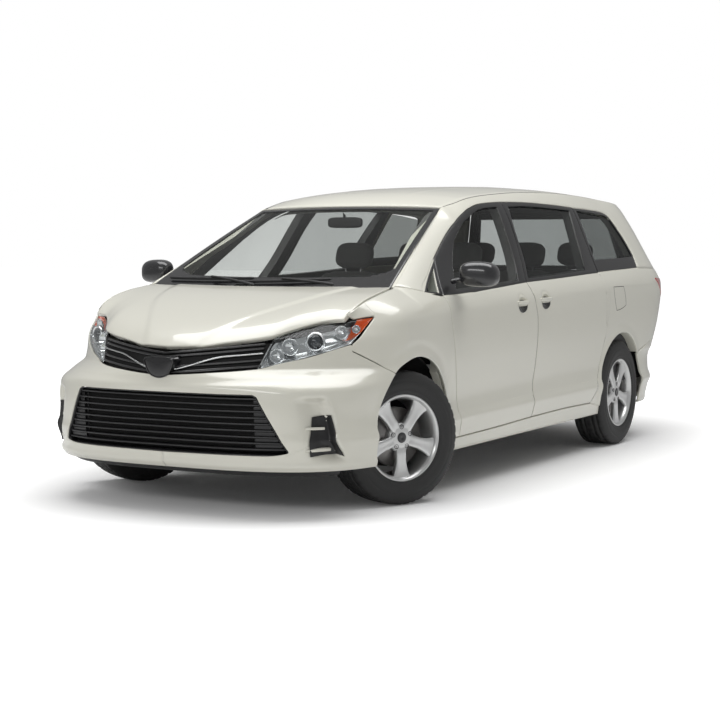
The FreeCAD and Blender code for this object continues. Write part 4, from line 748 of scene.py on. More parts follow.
def glass_material(name, tint, clear):
    """Thin glass: a gloss coat over a mix of see-through tint and dark body, by the share that passes. The
    coat grows with the fifth power of the grazing angle's share."""
    material, tree = new_material(name)
    see_through = add_node(tree, "BsdfTransparent", {"Color": (*tint, 1)})
    body = add_node(tree, "BsdfDiffuse", {"Color": (0.012, 0.014, 0.014, 1)})
    gloss = add_node(tree, "BsdfGlossy", {"Roughness": 0.03})
    place = add_node(tree, "TexCoord")
    haze = add_node(tree, "TexNoise", {"Scale": 2.5, "Vector": place.outputs["Object"]})
    share = add_node(tree, "MapRange", {
        "Value": haze.outputs["Fac"], "To Min": 1 - clear - HAZE_SWING, "To Max": 1 - clear + HAZE_SWING,
    })
    inside = add_node(tree, "MixShader", {
        "Fac": share.outputs["Result"], 1: see_through.outputs["BSDF"], 2: body.outputs["BSDF"],
    })
    facing = add_node(tree, "LayerWeight", {"Blend": 0.5})
    grazing = add_node(tree, "Math", {0: facing.outputs["Facing"], 1: 5}, operation="POWER")
    mirrored = add_node(tree, "MapRange", {"Value": grazing.outputs["Value"], "To Min": 0.02, "To Max": 0.5})
    coat = add_node(tree, "MixShader", {
        "Fac": mirrored.outputs["Result"], 1: inside.outputs["Shader"], 2: gloss.outputs["BSDF"],
    })
    add_node(tree, "OutputMaterial", {"Surface": coat.outputs["Shader"]})
    return material


gloss_black = plain_material("gloss_black_trim", (0.012, 0.012, 0.013), 0.18, coat=0.4)
frame_black = plain_material("window_frame_black", (0.015, 0.015, 0.016), 0.3)
# Black rubber, for the ditch mouldings, and laid in the lower door gaps as painted shade.
rubber_black_and_gap_shade = plain_material("rubber_seal_and_gap_shade", (0.012, 0.012, 0.012), 0.6, grain=0.2)
side_tint = glass_material("tinted_side_glass", (0.74, 0.755, 0.75), 0.95)
quarter_tint = glass_material("tinted_quarter_glass", (0.55, 0.565, 0.56), 0.9)
door_tint = glass_material("front_door_glass", (0.88, 0.89, 0.885), 0.98)


def inset_loop(loop, by):
    """A closed loop of plan points moved towards its inside by a distance."""
    ahead = np.roll(loop, -1, 0) - np.roll(loop, 1, 0)
    length = np.maximum(np.linalg.norm(ahead, axis=1, keepdims=True), 1e-9)
    normal = np.stack([-ahead[:, 1], ahead[:, 0]], -1) / length
    after = np.roll(loop, -1, 0)
    area = np.sum(loop[:, 0] * after[:, 1] - after[:, 0] * loop[:, 1])
    return loop + normal * by * (1 if area > 0 else -1)


def closed_line(segments, counts):
    """Plan points round a closed line of smooth segments, with a number of steps for each."""
    return np.concatenate([drawn([segment], count + 1)[:-1] for segment, count in zip(segments, counts)])


ROUNDED_TOP = [(0, 1.5), (0.015, 0.4), (0.06, 0), (0.5, 0), (0.94, 0), (0.985, 0.4), (1, 1.5)]
FRAME_SECTION = [(0, 9), *ROUNDED_TOP, (1, 9)]


def ring_sheet(surface, outer, inner, section=FRAME_SECTION, proud=1.0):
    """A closed ring between two loops; its section is a list of (share of the way in, depth)."""
    section = np.array(section, float)
    share = section[:, 0, None, None]
    plan = outer[None] * (1 - share) + inner[None] * share
    depth = np.broadcast_to(section[:, 1, None] - proud, plan.shape[:2])
    points = lifted(surface, plan, depth)
    faces = grid_faces(*plan.shape[:2], wrap_rows=True, wrap_columns=True)
    a, b, c = (points.reshape(-1, 3)[faces[:, k]] for k in (0, 1, 2))
    flat = np.cross(b - a, c - a)
    top = np.abs(section[:, 1]).argmin()
    raised = lifted(surface, plan[top:top + 1, :1], depth[top:top + 1, :1] - 5)[0, 0]
    if np.dot(flat[top * plan.shape[1]], raised - points[top, 0]) < 0:
        faces = faces[:, ::-1]
    return points.reshape(-1, 3), faces


GLASS_DEPTH = 4
GLASS_THICKNESS = 4


def pane(loop, surface=side_surface, counts=(46, 24)):
    """A curved slab of glass inside a loop of four lines that run belt, rear, top, front."""
    belt, rear, top, front = loop
    plan = patch(belt, top[::-1], counts, front[::-1], rear)
    return slab(surface, plan, GLASS_DEPTH, GLASS_DEPTH + GLASS_THICKNESS)


# Outlines of the frames and panes; each loop runs belt, rear, top, front
WINDOW_FRONT = [
    (-85, 1629), (-1, 1626), (213, 1612), (380, 1580), (480, 1545), (629, 1480), (937, 1328), (1015, 1290),
]
WINDOW_CENTRE = [(-1158, 1612), (-860, 1624), (-372, 1633), (-85, 1629)]
WINDOW_REAR = [
    (-1850, 1200), (-1893, 1300), (-1880, 1391), (-1836, 1482), (-1790, 1548), (-1740, 1576), (-1640, 1593),
    (-1430, 1604), (-1158, 1612),
]
FRONT_FRAME = [BELT_LINE[2:7], CENTRE_GAP_UPPER, WINDOW_FRONT, FRONT_DOOR_UPPER_EDGE[::-1]]
FRONT_PANE = [
    [(1010, 1114), (600, 1130), (175, 1150)], [(175, 1150), (106, 1275), (8, 1598)],
    [(8, 1598), (213, 1585), (480, 1510), (700, 1395)], [(700, 1395), (851, 1271), (1010, 1114)],
]
SLIDING_FRAME = [BELT_LINE[6:10], REAR_GAP_UPPER, WINDOW_CENTRE, CENTRE_GAP_UPPER[::-1]]
SLIDING_PANE = [
    [(30, 1163), (-445, 1178), (-914, 1199)], [(-914, 1199), (-1002, 1427), (-1085, 1592)],
    [(-1085, 1592), (-860, 1600), (-372, 1609), (-150, 1602)],
    [(-150, 1602), (-85, 1470), (-30, 1274), (30, 1163)],
]
QUARTER_FRAME = [BELT_LINE[9:], WINDOW_REAR, REAR_GAP_UPPER[::-1]]
QUARTER_PANE = [
    [(-1131, 1262), (-1292, 1266), (-1634, 1274), (-1852, 1280)],
    [(-1852, 1280), (-1862, 1315), (-1845, 1391), (-1800, 1480), (-1740, 1550), (-1640, 1571), (-1430, 1583),
     (-1205, 1592)],
    [(-1205, 1592), (-1163, 1404), (-1131, 1262)],
]
CORNER_FRAME = [
    [(1345, 1112), (1186, 1089)], FRONT_DOOR_UPPER_EDGE, [(1015, 1290), (1179, 1203), (1345, 1112)],
]
CORNER_PANE = [
    [(1312, 1117), (1205, 1106)], [(1205, 1106), (1085, 1236)], [(1085, 1236), (1172, 1192), (1312, 1117)],
]
CORNER_TIP = (1313, 1118)


def window_frame(frame_line, pane_line, counts):
    """The black ring round a window, its outer edge kept half a gap inside the drawn line."""
    outer = inset_loop(closed_line(frame_line, counts), HALF_GAP)
    return ring_sheet(wrap_surface, outer, closed_line(pane_line, counts))


fixed_ring = join([
    window_frame(QUARTER_FRAME, QUARTER_PANE, (70, 130, 50)),
    window_frame(CORNER_FRAME, CORNER_PANE, (40, 50, 60)),
])
for name, ring, body in (
    ("front_window_frame", window_frame(FRONT_FRAME, FRONT_PANE, (80, 50, 100, 40)), "door_*"),
    ("sliding_window_frame", window_frame(SLIDING_FRAME, SLIDING_PANE, (90, 50, 90, 50)), "body"),
    ("quarter_window_frame", fixed_ring, "body"),
):
    fit_pair(name, ring, frame_black, body, "black_plastic")
corner_top = [CORNER_PANE[2][0], CORNER_PANE[2][1], CORNER_TIP]
corner_pane = pane([*CORNER_PANE[:2], corner_top, [CORNER_TIP, CORNER_PANE[0][0]]], counts=(30, 20))
fixed_panes = join([pane(SLIDING_PANE), corner_pane])
quarter_rear, quarter_top = QUARTER_PANE[1][:5], QUARTER_PANE[1][5:]
quarter_pane = pane([QUARTER_PANE[0], quarter_rear, quarter_top, QUARTER_PANE[2]], wrap_surface)
fit_pair("front_door_pane", pane(FRONT_PANE), door_tint, "door_*", "clear_glass", "front_door_glass_*")
fit("side_window_panes", both_sides(fixed_panes), side_tint, "body", "tinted_glass", "side_glass")
fit("quarter_window_panes", both_sides(quarter_pane), quarter_tint, "body", "tinted_glass")

# Windshield
# One laminated, bowed pane glued to the body, with a black printed border that is wider along the bottom and
# in the lower corners.
HEADER_BOW = 33
BASE_BOW = 76
WINDSHIELD_BULGE = 14
WINDSHIELD_THICKNESS = 5


def windshield_surface(u, v):
    """Glass points at a share u across (-1 to 1) and v up (0 to 1): bowed base and top, bulged between."""
    u, v = np.broadcast_arrays(np.asarray(u, float), np.asarray(v, float))
    bow = 1 - u * u
    base = np.stack([WINDSHIELD_BASE_X + BASE_BOW * bow, 786 * u, WINDSHIELD_BASE_Z - 22 * bow], -1)
    top = np.stack([WINDSHIELD_TOP_X + HEADER_BOW * bow, 621 * u, WINDSHIELD_TOP_Z + 14 * bow], -1)
    bulge = WINDSHIELD_BULGE * 4 * v * (1 - v) * (1 - 0.5 * u * u)
    return (1 - v)[..., None] * base + v[..., None] * top + np.stack([0.43 * bulge, 0 * u, 0.9 * bulge], -1)


u, v = np.meshgrid(np.linspace(-0.988, 0.988, 121), np.linspace(-0.03, 0.988, 63))
glass = slab(windshield_surface, np.stack([u, v], -1), 0, WINDSHIELD_THICKNESS, (0.01, 0.01))
clear_glass = glass_material("windshield_glass", (0.93, 0.94, 0.93), 0.985)
windshield = fit("windshield_pane", glass, clear_glass, "body", "clear_glass", "windshield")
centre_u = (u[:-1, :-1] + u[1:, 1:]) / 2
centre_v = (v[:-1, :-1] + v[1:, 1:]) / 2
corner_cut = np.hypot(np.maximum(np.abs(centre_u) - 0.72, 0) / 0.22, np.maximum(0.24 - centre_v, 0) / 0.12)
border = (np.abs(centre_u) > 0.955) | (centre_v < 0.12) | (centre_v > 0.955) | (corner_cut > 1)
marks = np.concatenate([border.ravel(), border.ravel(), np.ones(len(glass[1]) - 2 * border.size, bool)])
windshield.data.materials.append(gloss_black)
windshield.data.polygons.foreach_set("material_index", marks.astype(np.int32))

# Roof
# A pressed steel skin between two ditch mouldings, from the windshield's header to the liftgate.
GATE_GAP_X = -2180
ROOF_BACK_X, ROOF_HEAD_X = -2174, 586
DITCH = 0.982
ROOF_STEP = (1.0, 0.002)


def roof_surface(x, share):
    """Roof points at a station and a share of the half width, the front edge bowed forward at the middle."""
    x, share = np.broadcast_arrays(np.asarray(x, float), np.asarray(share, float))
    forward = np.clip((x - GATE_GAP_X) / (WINDSHIELD_TOP_X - GATE_GAP_X), 0, 1.2)
    station = x + HEADER_BOW * forward**4 * (1 - share * share)
    drop = (through(ROOF_RIDGE, x) - edge_z(x)) * np.abs(share) ** 2.5
    return np.stack([station, share * edge_y(x), through(ROOF_RIDGE, station) - drop], -1)


def roof_plan(x_from, x_to, reach, rows, columns):
    """Plan grid of the roof between two stations and out to a share of the half width."""
    stations, shares = np.linspace(x_from, x_to, rows), np.linspace(-reach, reach, columns)
    return np.stack(np.meshgrid(stations, shares, indexing="ij"), -1)


plan = roof_plan(ROOF_BACK_X, ROOF_HEAD_X, DITCH, 104, 60)
x, away = plan[..., 0], np.abs(plan[..., 1])
edge_share = np.clip((DITCH - away) / 0.012, 0, 1)
end_share = np.clip(np.minimum(ROOF_HEAD_X - x, x - ROOF_BACK_X) / 8, 0, 1)
roll = 5 * (1 - np.minimum(edge_share, end_share)) ** 2
ribs = 1.6 * bell(away, 0.45, 0.03) * np.clip((400 - x) / 200, 0, 1)
roof_skin = slab(roof_surface, plan, roll - 1.5 - ribs, roll + 1.5, ROOF_STEP)
fit("roof_skin", roof_skin, paint, "body", "pearl_paint")


def capped(grid):
    """A bar from a grid whose rows run along it: closed round its section, with a flat face at each end."""
    rows, columns = grid.shape[:2]
    ends = np.arange(rows)[None] * columns
    return grid.reshape(-1, 3), [grid_faces(rows, columns, wrap_rows=True), ends[:, ::-1], ends + columns - 1]


def join_bars(bars):
    """One set of points and face blocks from several capped bars."""
    points, blocks, start = [], [], 0
    for bar_points, bar_blocks in bars:
        points.append(bar_points)
        blocks += [block + start for block in bar_blocks]
        start += len(bar_points)
    return np.concatenate(points), blocks


ditch_x = np.linspace(-2172, 560, 180)
DITCH_SECTION = [(-4.2, -6), (-3.6, -0.5), (0, 0.8), (3.6, -0.5), (4.2, -6)]
ditch_line = roof_surface(ditch_x, 0.9905)
left_ditch = capped(np.stack([ditch_line + [0, across, up + 0.5] for across, up in DITCH_SECTION]))
right_ditch = left_ditch[0] * [1, -1, 1], [block[:, ::-1] for block in left_ditch[1]]
fit("roof_ditch_mouldings", join_bars([left_ditch, right_ditch]), rubber_black_and_gap_shade, "body", "black_plastic")

# Hood
# A pressed steel panel with a raised middle between two creases that run from the grille to the windshield.
# Its inner panel stands off it along the borders and the pressed ribs.
HOOD_CREASE = [(1500, 600), (1900, 470), (2250, 270), (2456, 150)]
HOOD_REAR_X = 1508
HOOD_REAR_BOW = 74
HOOD_REAR_HALF = 780
HOOD_FRONT_HALF = 793
HOOD_DEEP = 14


def hood_surface(x, y):
    """Hood points over plan (x, y), with the raised middle's crease."""
    x, y = np.broadcast_arrays(np.asarray(x, float), np.asarray(y, float))
    share = np.clip((through(HOOD_CREASE, x) - np.abs(y)) / 44 + 0.5, 0, 1)
    dome = 7 * share * share * (3 - 2 * share)
    return np.stack([x, y, hood_z(x, y) + dome], -1)


side_x = np.array([1600, 1720, 1840, 1940])
front_y = np.linspace(HOOD_FRONT_HALF, 0, 70)
front_half = list(zip(through(HOOD_FRONT, front_y) - 2, front_y))
front_line = front_half + [(x, -y) for x, y in reversed(front_half[:-1])]
rear_y = np.linspace(HOOD_REAR_HALF, -HOOD_REAR_HALF, 25)
rear_line = list(zip(HOOD_REAR_X + HOOD_REAR_BOW * (1 - (rear_y / HOOD_REAR_HALF) ** 2) + 2, rear_y))
left_line = [rear_line[0], *zip(side_x, edge_y(side_x) - 3), front_line[0]]
right_line = [(x, -y) for x, y in left_line]
plan, depth = rolled(patch(rear_line, front_line, (111, 78), left_line, right_line))
u_share = np.linspace(0, 1, plan.shape[1])[None, :]
v_share = np.linspace(0, 1, plan.shape[0])[:, None]
to_border = np.minimum(np.minimum(u_share, 1 - u_share), np.minimum(v_share, 1 - v_share))
inside = np.clip(to_border * 9 - 0.6, 0, 1)
webs = np.abs(np.sin(u_share * 4 * np.pi)) ** 0.35 * np.abs(np.sin(v_share * 2 * np.pi)) ** 0.35
hood_skin = slab(
    hood_surface, plan, depth - 1.5, np.maximum(depth - 1.5, 0) + HOOD_DEEP - (HOOD_DEEP - 3) * inside * webs
)
fit("hood_skin", hood_skin, paint, "hood_body", "pearl_paint", "hood")

# Cowl and wipers
# A black grained plastic panel closes the gap between hood and windshield. Two sprung arms with rubber blades
# lie along the foot of the glass.
cowl_share = np.linspace(-1, 1, 120)
cowl_rows = []
for back, sink in ((4, 16), (4, 2), (20, 0), (60, 2), (104, 6), (112, 12)):
    x = HOOD_REAR_X - 5 + HOOD_REAR_BOW * (1 - cowl_share**2) - back
    cowl_rows.append(np.stack([x, 784 * cowl_share, 1114 - 0.2 * back - sink + 0 * x], -1))
cowl_top = np.stack(cowl_rows)
cowl_grain = plain_material("grained_black_plastic", (0.02, 0.02, 0.021), 0.55, grain=0.4, grain_scale=1400)
fit("cowl_cover", shell(cowl_top, cowl_top - [0, 0, 4]), cowl_grain, "body", "black_plastic", "cowl")


def tube(path, radii, around=12):
    """A closed tube of changing radius along a path: rings square to the path, ends drawn to points. Each
    step has one radius, or a pair of them, sideways and upright."""
    path = np.asarray(path, float)
    ahead = np.gradient(path, axis=0)
    ahead /= np.linalg.norm(ahead, axis=1, keepdims=True)
    side = np.cross(ahead, (0.05, 0.1, 1.0))
    side /= np.linalg.norm(side, axis=1, keepdims=True)
    up = np.cross(side, ahead)
    turn = np.linspace(0, 2 * np.pi, around, endpoint=False)[None, :, None]
    radii = np.asarray(radii, float)
    if radii.ndim == 1:
        radii = np.stack([radii, radii], 1)
    wide, high = radii[:, 0, None, None], radii[:, 1, None, None]
    points = path[:, None] + (wide * np.cos(turn) * side[:, None] + high * np.sin(turn) * up[:, None])
    points[0] = path[0]
    points[-1] = path[-1]
    return points.reshape(-1, 3), grid_faces(len(path), around, wrap_columns=True)[:, ::-1]


BLADE_STEPS = 40
ARM_STEPS = 24
wipers = []
for foot, tip_u, tip_v, heel_v in ((0.52, -0.28, 0.045, 0.075), (-0.12, -0.9, 0.05, 0.085)):
    u_line = np.linspace(foot, tip_u, BLADE_STEPS)
    v_line = np.linspace(heel_v, tip_v, BLADE_STEPS)
    blade = windshield_surface(u_line, v_line) + [5, 0, 12]
    wipers.append(tube(blade, np.tile([6.0, 8.0], (BLADE_STEPS, 1))))
    start = windshield_surface(np.array(foot + 0.06), np.array(0.02)) + [20, 0, 10]
    middle = windshield_surface(np.array((foot + tip_u) / 2), np.array((heel_v + tip_v) / 2)) + [8, 0, 26]
    share = np.linspace(0, 1, ARM_STEPS)[:, None]
    arm = start * (1 - share) + middle * share + [0, 0, 1] * (14 * share * (1 - share))
    wipers.append(tube(arm, np.stack([np.linspace(13, 6, ARM_STEPS), np.linspace(9, 6, ARM_STEPS)], 1)))
fit("wipers", join(wipers), cowl_grain, "body", "black_plastic")

# Front bumper
# One moulded, painted plastic cover. A fan of lines runs from the lower grille's opening out to the lamp, the
# fender, the wheel arch and the lip. A sculpted pocket beside the opening holds a slotted black insert.
NOSE_STEP = 18
LOWER_OPENING = [(0, 629), (530, 629), (551, 618), (693, 344), (680, 324), (0, 322)]
BUMPER_TOP = [(0, 712), (250, 728), (484, 748), (580, 776), (674, 800), (845, 866)]
LIP_BOTTOM = 243
POCKET_DEPTH = 44


def nose_wrap(s, z):
    """The nose over a plan angle, 18 mm to a degree and zero dead ahead, and a height."""
    return nose_surface(np.radians(np.asarray(s) / NOSE_STEP), z)


def nose_plan(points):
    """Plan coordinates on the nose of front-view (y, z) points."""
    y, z = np.array(points, float).T
    angle = np.degrees(np.arctan2(y, nose_station(y, z) - NOSE_START))
    return np.stack([angle * NOSE_STEP, z], -1)


def nose_plan_side(points):
    """Plan coordinates on the nose of side-view (x, z) points."""
    x, z = np.array(points, float).T
    y = side_profile(NOSE_START, np.minimum(z, NOSE_WIDEST_Z)) * end_taper(x, z)
    return np.stack([np.degrees(np.arctan2(y, x - NOSE_START)) * NOSE_STEP, z], -1)


def nose_front(plan):
    """Front-view y of plan points on the nose."""
    return nose_wrap(plan[..., 0], plan[..., 1])[..., 1]


def ramp(value, start, end):
    """Smooth step from 0 at one value to 1 at another."""
    t = np.clip((value - start) / (end - start), 0, 1)
    return t * t * (3 - 2 * t)


def pocket_edge(z):
    """Front-view y of the pocket's outer edge, which leans outwards towards the foot."""
    return 834 + 0.185 * (613 - z)


def pocket(y, z):
    """Depth of the fog pocket: deepest along its outer edge, fading towards the grille opening."""
    outer_edge = pocket_edge(z)
    inner_edge = 690 + (606 - z) * 0.22
    side = ramp(y, inner_edge, outer_edge - 34) ** 1.3 * (1 - ramp(y, outer_edge - 9, outer_edge + 5))
    height = ramp(z, 290, 326) * (1 - ramp(z, 590, 622))
    return POCKET_DEPTH * side * height


def bumper_relief(plan):
    """Height over the nose: the lip's bead, a crease over the opening, a rib beside the pocket and a swell at
    the wheel arch, less the pocket."""
    y, z = np.abs(nose_front(plan)), plan[..., 1]
    lip = 9 * bell(z, 272, 20)
    frame = 5 * bell(z - 655 - 0.02 * y, 0, 16) * (1 - ramp(y, 540, 720))
    rib = 6 * bell(y - pocket_edge(z), 14, 12) * ramp(z, 300, 360) * (1 - ramp(z, 560, 640))
    wheel = np.hypot(nose_wrap(plan[..., 0], z)[..., 0] - FRONT_AXLE_X, z - WHEEL_RADIUS - ARCH_RISE)
    return lip + frame + rib + 6 * bell(wheel, FRONT_ARCH_RADIUS, 26) - pocket(y, z)


OPENING_STEPS = (50, 5, 80, 5, 44)
opening_sides = []
for start, end, count in zip(LOWER_OPENING, LOWER_OPENING[1:], OPENING_STEPS):
    opening_sides.append(nose_plan(drawn([[start, end]], count)))
opening_loop = np.concatenate([opening_sides[0], *(side[1:] for side in opening_sides[1:])])
arch_plan = nose_plan_side(arch(FRONT_AXLE_X, FRONT_ARCH_RADIUS, 54.5, -19.3, 60))
seam_plan = nose_plan_side(drawn([BUMPER_SEAM[::-1]], 20))
bottom_angle = np.linspace(arch_plan[-1, 0], 0, 50)
bottom_plan = np.stack([bottom_angle, np.full(50, float(LIP_BOTTOM))], -1)
top_plan = nose_plan(drawn([BUMPER_TOP], 70))
outer_loop = np.concatenate([top_plan, seam_plan[1:], arch_plan[1:], bottom_plan[1:]])


def evenly(loop, count, knots):
    """A line resampled so that given shares of the steps fall at given shares of its length."""
    chord = np.concatenate([[0], np.cumsum(np.linalg.norm(np.diff(loop, axis=0), axis=1))])
    at = np.interp(np.linspace(0, 1, count), *zip(*knots))
    return np.stack([np.interp(at * chord[-1], chord, loop[:, k]) for k in range(2)], -1)


FAN_STEPS = 172
outer_even = evenly(outer_loop, FAN_STEPS, [(0, 0), (0.32, 0.3), (0.7, 0.62), (1, 1)])
inner_even = evenly(opening_loop, FAN_STEPS, [(0, 0), (0.28, 0.34), (0.66, 0.62), (1, 1)])
fan_share = np.linspace(0, 1, 45)[:, None, None]
bumper_plan = inner_even[None] * (1 - fan_share) + outer_even[None] * fan_share
bumper_plan = np.concatenate([(bumper_plan * [-1, 1])[:, :0:-1], bumper_plan], 1)
bumper_skin = sheet_metal(nose_wrap, bumper_plan, edges=(1, 1, 0, 0), relief=bumper_relief, thickness=3)
fit("front_bumper_skin", bumper_skin, paint, "body", "pearl_paint", "front_bumper")

satin_black = plain_material("satin_black_plastic", (0.014, 0.014, 0.015), 0.42, grain=0.15, grain_scale=900)
# Matt black for the linings and liners, also used for the painted shade in the fuel door's gap.
matt_black_and_gap_shade = plain_material("matt_black_lining_and_gap_shade", (0.006, 0.006, 0.006), 0.8)
insert_low = [(780, 322), (pocket_edge(322) + 4, 320)]
insert_high = [(796, 516), (pocket_edge(526) + 2, 526)]
insert_plan = patch(insert_low, insert_high, (50, 36), place=nose_plan)
insert_depth = pocket(nose_front(insert_plan), insert_plan[..., 1])
insert = slab(nose_wrap, insert_plan, insert_depth - SKIN_PROUD - 8, insert_depth + 2)
fit("fog_inserts", both_sides(insert), satin_black, "body", "black_plastic")
FIN_HEIGHT = 13
FIN_START = 766
FIN_STEPS = 26
fins = []
for low in (344, 455):
    y_line = np.linspace(FIN_START, pocket_edge(low) - 24, FIN_STEPS)
    front_depth = np.linspace(pocket(FIN_START, low) - 4, 14, FIN_STEPS)
    foot = nose_plan(np.stack([y_line, np.full(FIN_STEPS, float(low))], -1))
    plan = np.stack([foot, foot + [0, FIN_HEIGHT / 2], foot + [0, FIN_HEIGHT]])
    fins.append(slab(nose_wrap, plan, front_depth, POCKET_DEPTH + 1.0))
fit("fog_fins", both_sides(join(fins)), paint, "body", "pearl_paint")

# Undertray behind the bumper's lip, black plastic, from the lip back to the subframe
lip_angle = np.linspace(-60, 60, 80)
tray_rows = []
for z, narrowed, back in ((246, 1, 8), (212, 0.97, 40), (200, 0.85, 180)):
    tray_rows.append(nose_surface(np.radians(lip_angle), z + 0 * lip_angle) * [1, narrowed, 1] - [back, 0, 0])
tray = np.stack(tray_rows)
fit("front_undertray", shell(tray, tray + [-4, 0, 3]), satin_black, "body", "black_plastic")

# Grilles
# The lower opening holds thin moulded bars over a dark lining, with a blocked-off end at each side. The upper
# band carries slats, and two bright wings that dip to a plain shield-shaped pod in the middle.
STRIP_SIDES = np.array([-1, -1, -0.6, 0.6, 1, 1])[:, None, None]


def nose_strip(y_line, z_line, height, front, back):
    """A closed bar along the nose, from its middle line in front view, its height and its two depths."""
    line = nose_plan(np.stack([y_line, z_line], -1))
    depth = np.array([back, front + 3, front, front, front + 3, back], float)[:, None]
    return capped(lifted(nose_wrap, line + [0, height / 2] * STRIP_SIDES, depth))


grille_grey = plain_material("grille_bar_black", (0.018, 0.018, 0.019), 0.34, grain=0.1, grain_scale=700)
BAR_LEVELS = np.linspace(352, 610, 9)
OPENING_TOP_Z = 629
OPENING_TOP_HALF = 546
bars = []
for level in BAR_LEVELS:
    half_width = OPENING_TOP_HALF + (OPENING_TOP_Z - level) * 0.5 - 6
    bars.append(nose_strip(np.linspace(-half_width, half_width, 90), np.full(90, level), 9, 14, 40))
fit("lower_grille_bars", join_bars(bars), grille_grey, "body", "black_plastic", "grilles")

SURROUND_SECTION = [(0, 3), (0, 52), (1, 52), (1, 5), (0.5, 2)]
opening_round = np.concatenate([opening_loop, (opening_loop * [-1, 1])[::-1][1:-1]])
surround = ring_sheet(nose_wrap, opening_round, inset_loop(opening_round, 5), SURROUND_SECTION, proud=0)
lining_foot = [(-700, 322), (700, 322)]
lining_head = [(-OPENING_TOP_HALF, OPENING_TOP_Z), (OPENING_TOP_HALF, OPENING_TOP_Z)]
lining = slab(nose_wrap, patch(lining_foot, lining_head, (60, 24), place=nose_plan), 48.0, 51.0)
fit("lower_grille_surround", surround, gloss_black, "body", "black_plastic")
fit("lower_grille_lining", lining, matt_black_and_gap_shade, "body", "black_plastic")
blocks = []
for level, high in zip(BAR_LEVELS, BAR_LEVELS[1:]):
    middle = (level + high) / 2
    half_width = OPENING_TOP_HALF + (OPENING_TOP_Z - middle) * 0.5 - 8
    for y_from, y_to in ((535, half_width), (-half_width, -535)):
        y_line = np.linspace(y_from, y_to, 14)
        blocks.append(nose_strip(y_line, np.full(14, middle), high - level - 8, 22, 46))
fit("lower_grille_end_blocks", join_bars(blocks), satin_black, "body", "black_plastic")

UPPER_FOOT = [(-492, 752), (-484, 753), (0, 714), (484, 753), (492, 752)]
UPPER_HEAD = [(-540, 890), (-527, 888), (-250, 858), (0, 834), (250, 858), (527, 888), (540, 890)]
upper_plan = patch(drawn([UPPER_FOOT], 100, smooth=False), UPPER_HEAD, (100, 20), place=nose_plan)
fit("upper_grille_back", slab(nose_wrap, upper_plan, 26.0, 30.0), matt_black_and_gap_shade, "body", "black_plastic")
SLAT_SHARES = [0.1, 0.32, 0.76, 0.93]
y_line = np.linspace(-500, 500, 120)
low_line = 716 + 37 * np.abs(y_line) / 484
high_line = through(UPPER_HEAD[3:6], np.abs(y_line))
slats = [nose_strip(y_line, low_line + (high_line - low_line) * share, 11, 8, 27) for share in SLAT_SHARES]
fit("upper_grille_slats", join_bars(slats), gloss_black, "body", "black_plastic")
bright_trim = plain_material("bright_trim", (0.55, 0.56, 0.56), 0.16, metallic=1.0)
dip = 1 - ramp(np.abs(y_line), 60, 330)
wing_line = low_line + (high_line - low_line) * (0.56 - 0.36 * dip)
wings = [nose_strip(y_line[side], wing_line[side], 8, 3, 20) for side in (y_line > 72, y_line < -72)]
fit("upper_grille_wings", join_bars(wings), bright_trim, "body", "alloy")

POD = [
    (-82, 802), (0, 806), (82, 802), (92, 790), (86, 766), (62, 722), (40, 706), (0, 698), (-40, 706),
    (-62, 722), (-86, 766), (-92, 790), (-82, 802),
]
POD_ROWS = [
    (1, 2436), (1, 2526), (0.985, 2534), (0.94, 2538), (0.86, 2539.5), (0.6, 2541), (0.3, 2542), (0.01, 2542),
]
POD_RIM_ROWS = [(1.0, 2529), (1.012, 2537), (0.97, 2543), (0.93, 2541), (0.94, 2534)]
POD_STEPS = 96
pod_line = drawn([POD], POD_STEPS + 1)[:-1]
pod_centre = np.array([0, 760])


def pod_grid(rows):
    """The pod's outline at each station, drawn in towards its centre to a share of its size."""
    share, station = np.array(rows).T
    loops = pod_centre + (pod_line - pod_centre) * share[:, None, None]
    return np.concatenate([station[:, None, None] + 0 * loops[..., :1], loops], -1)


pod_ring = np.arange(POD_STEPS)[None]
pod_faces = [
    grid_faces(len(POD_ROWS), POD_STEPS, wrap_columns=True),
    pod_ring, (pod_ring + POD_STEPS * (len(POD_ROWS) - 1))[:, ::-1],
]
fit("nose_pod", (pod_grid(POD_ROWS), pod_faces), gloss_black, "body", "black_plastic")
rim_faces = grid_faces(len(POD_RIM_ROWS), POD_STEPS, wrap_rows=True, wrap_columns=True)
fit("nose_pod_rim", (pod_grid(POD_RIM_ROWS), rim_faces), gloss_black, "body", "black_plastic")

# Headlamps
# A clear moulded lens over a dark housing with bright reflector bowls, a round projector and an amber corner.
lens_material = glass_material("headlamp_lens", (0.96, 0.97, 0.97), 0.99)
chrome = plain_material("reflector_chrome", (0.78, 0.79, 0.8), 0.09, metallic=1.0)
dark_chrome = plain_material("housing_grey", (0.66, 0.67, 0.68), 0.2, metallic=0.85)
amber = plain_material("amber_lens", (0.95, 0.13, 0.01), 0.2, coat=0.6)
LAMP_BASE = [(484, 751), (580, 776), (674, 803), (770, 836), (845, 870)]
LAMP_HEAD = [(527, 892), (545, 934), (640, 955), (720, 972), (805, 990), LAMP_TIP]
LAMP_GRID = (60, 26)
lamp_plan = patch(LAMP_BASE, LAMP_HEAD, LAMP_GRID, place=nose_plan)
centre = lamp_plan[13:14, 30:31]
lamp_plan = centre + (lamp_plan - centre) * 0.985
up = np.linspace(0, 1, LAMP_GRID[1])[:, None]
across = np.linspace(0, 1, LAMP_GRID[0])[None, :]
edge_near = np.clip(np.minimum(np.minimum(up, 1 - up) * 4, np.minimum(across, 1 - across) * 9), 0, 1)
lens = slab(nose_wrap, lamp_plan, 3 - 3 * edge_near**0.5, 6 - 2.5 * edge_near**0.5)
housing_depth = 7 + 46 * edge_near**0.6
housing = slab(nose_wrap, lamp_plan, housing_depth, housing_depth + 2.5)
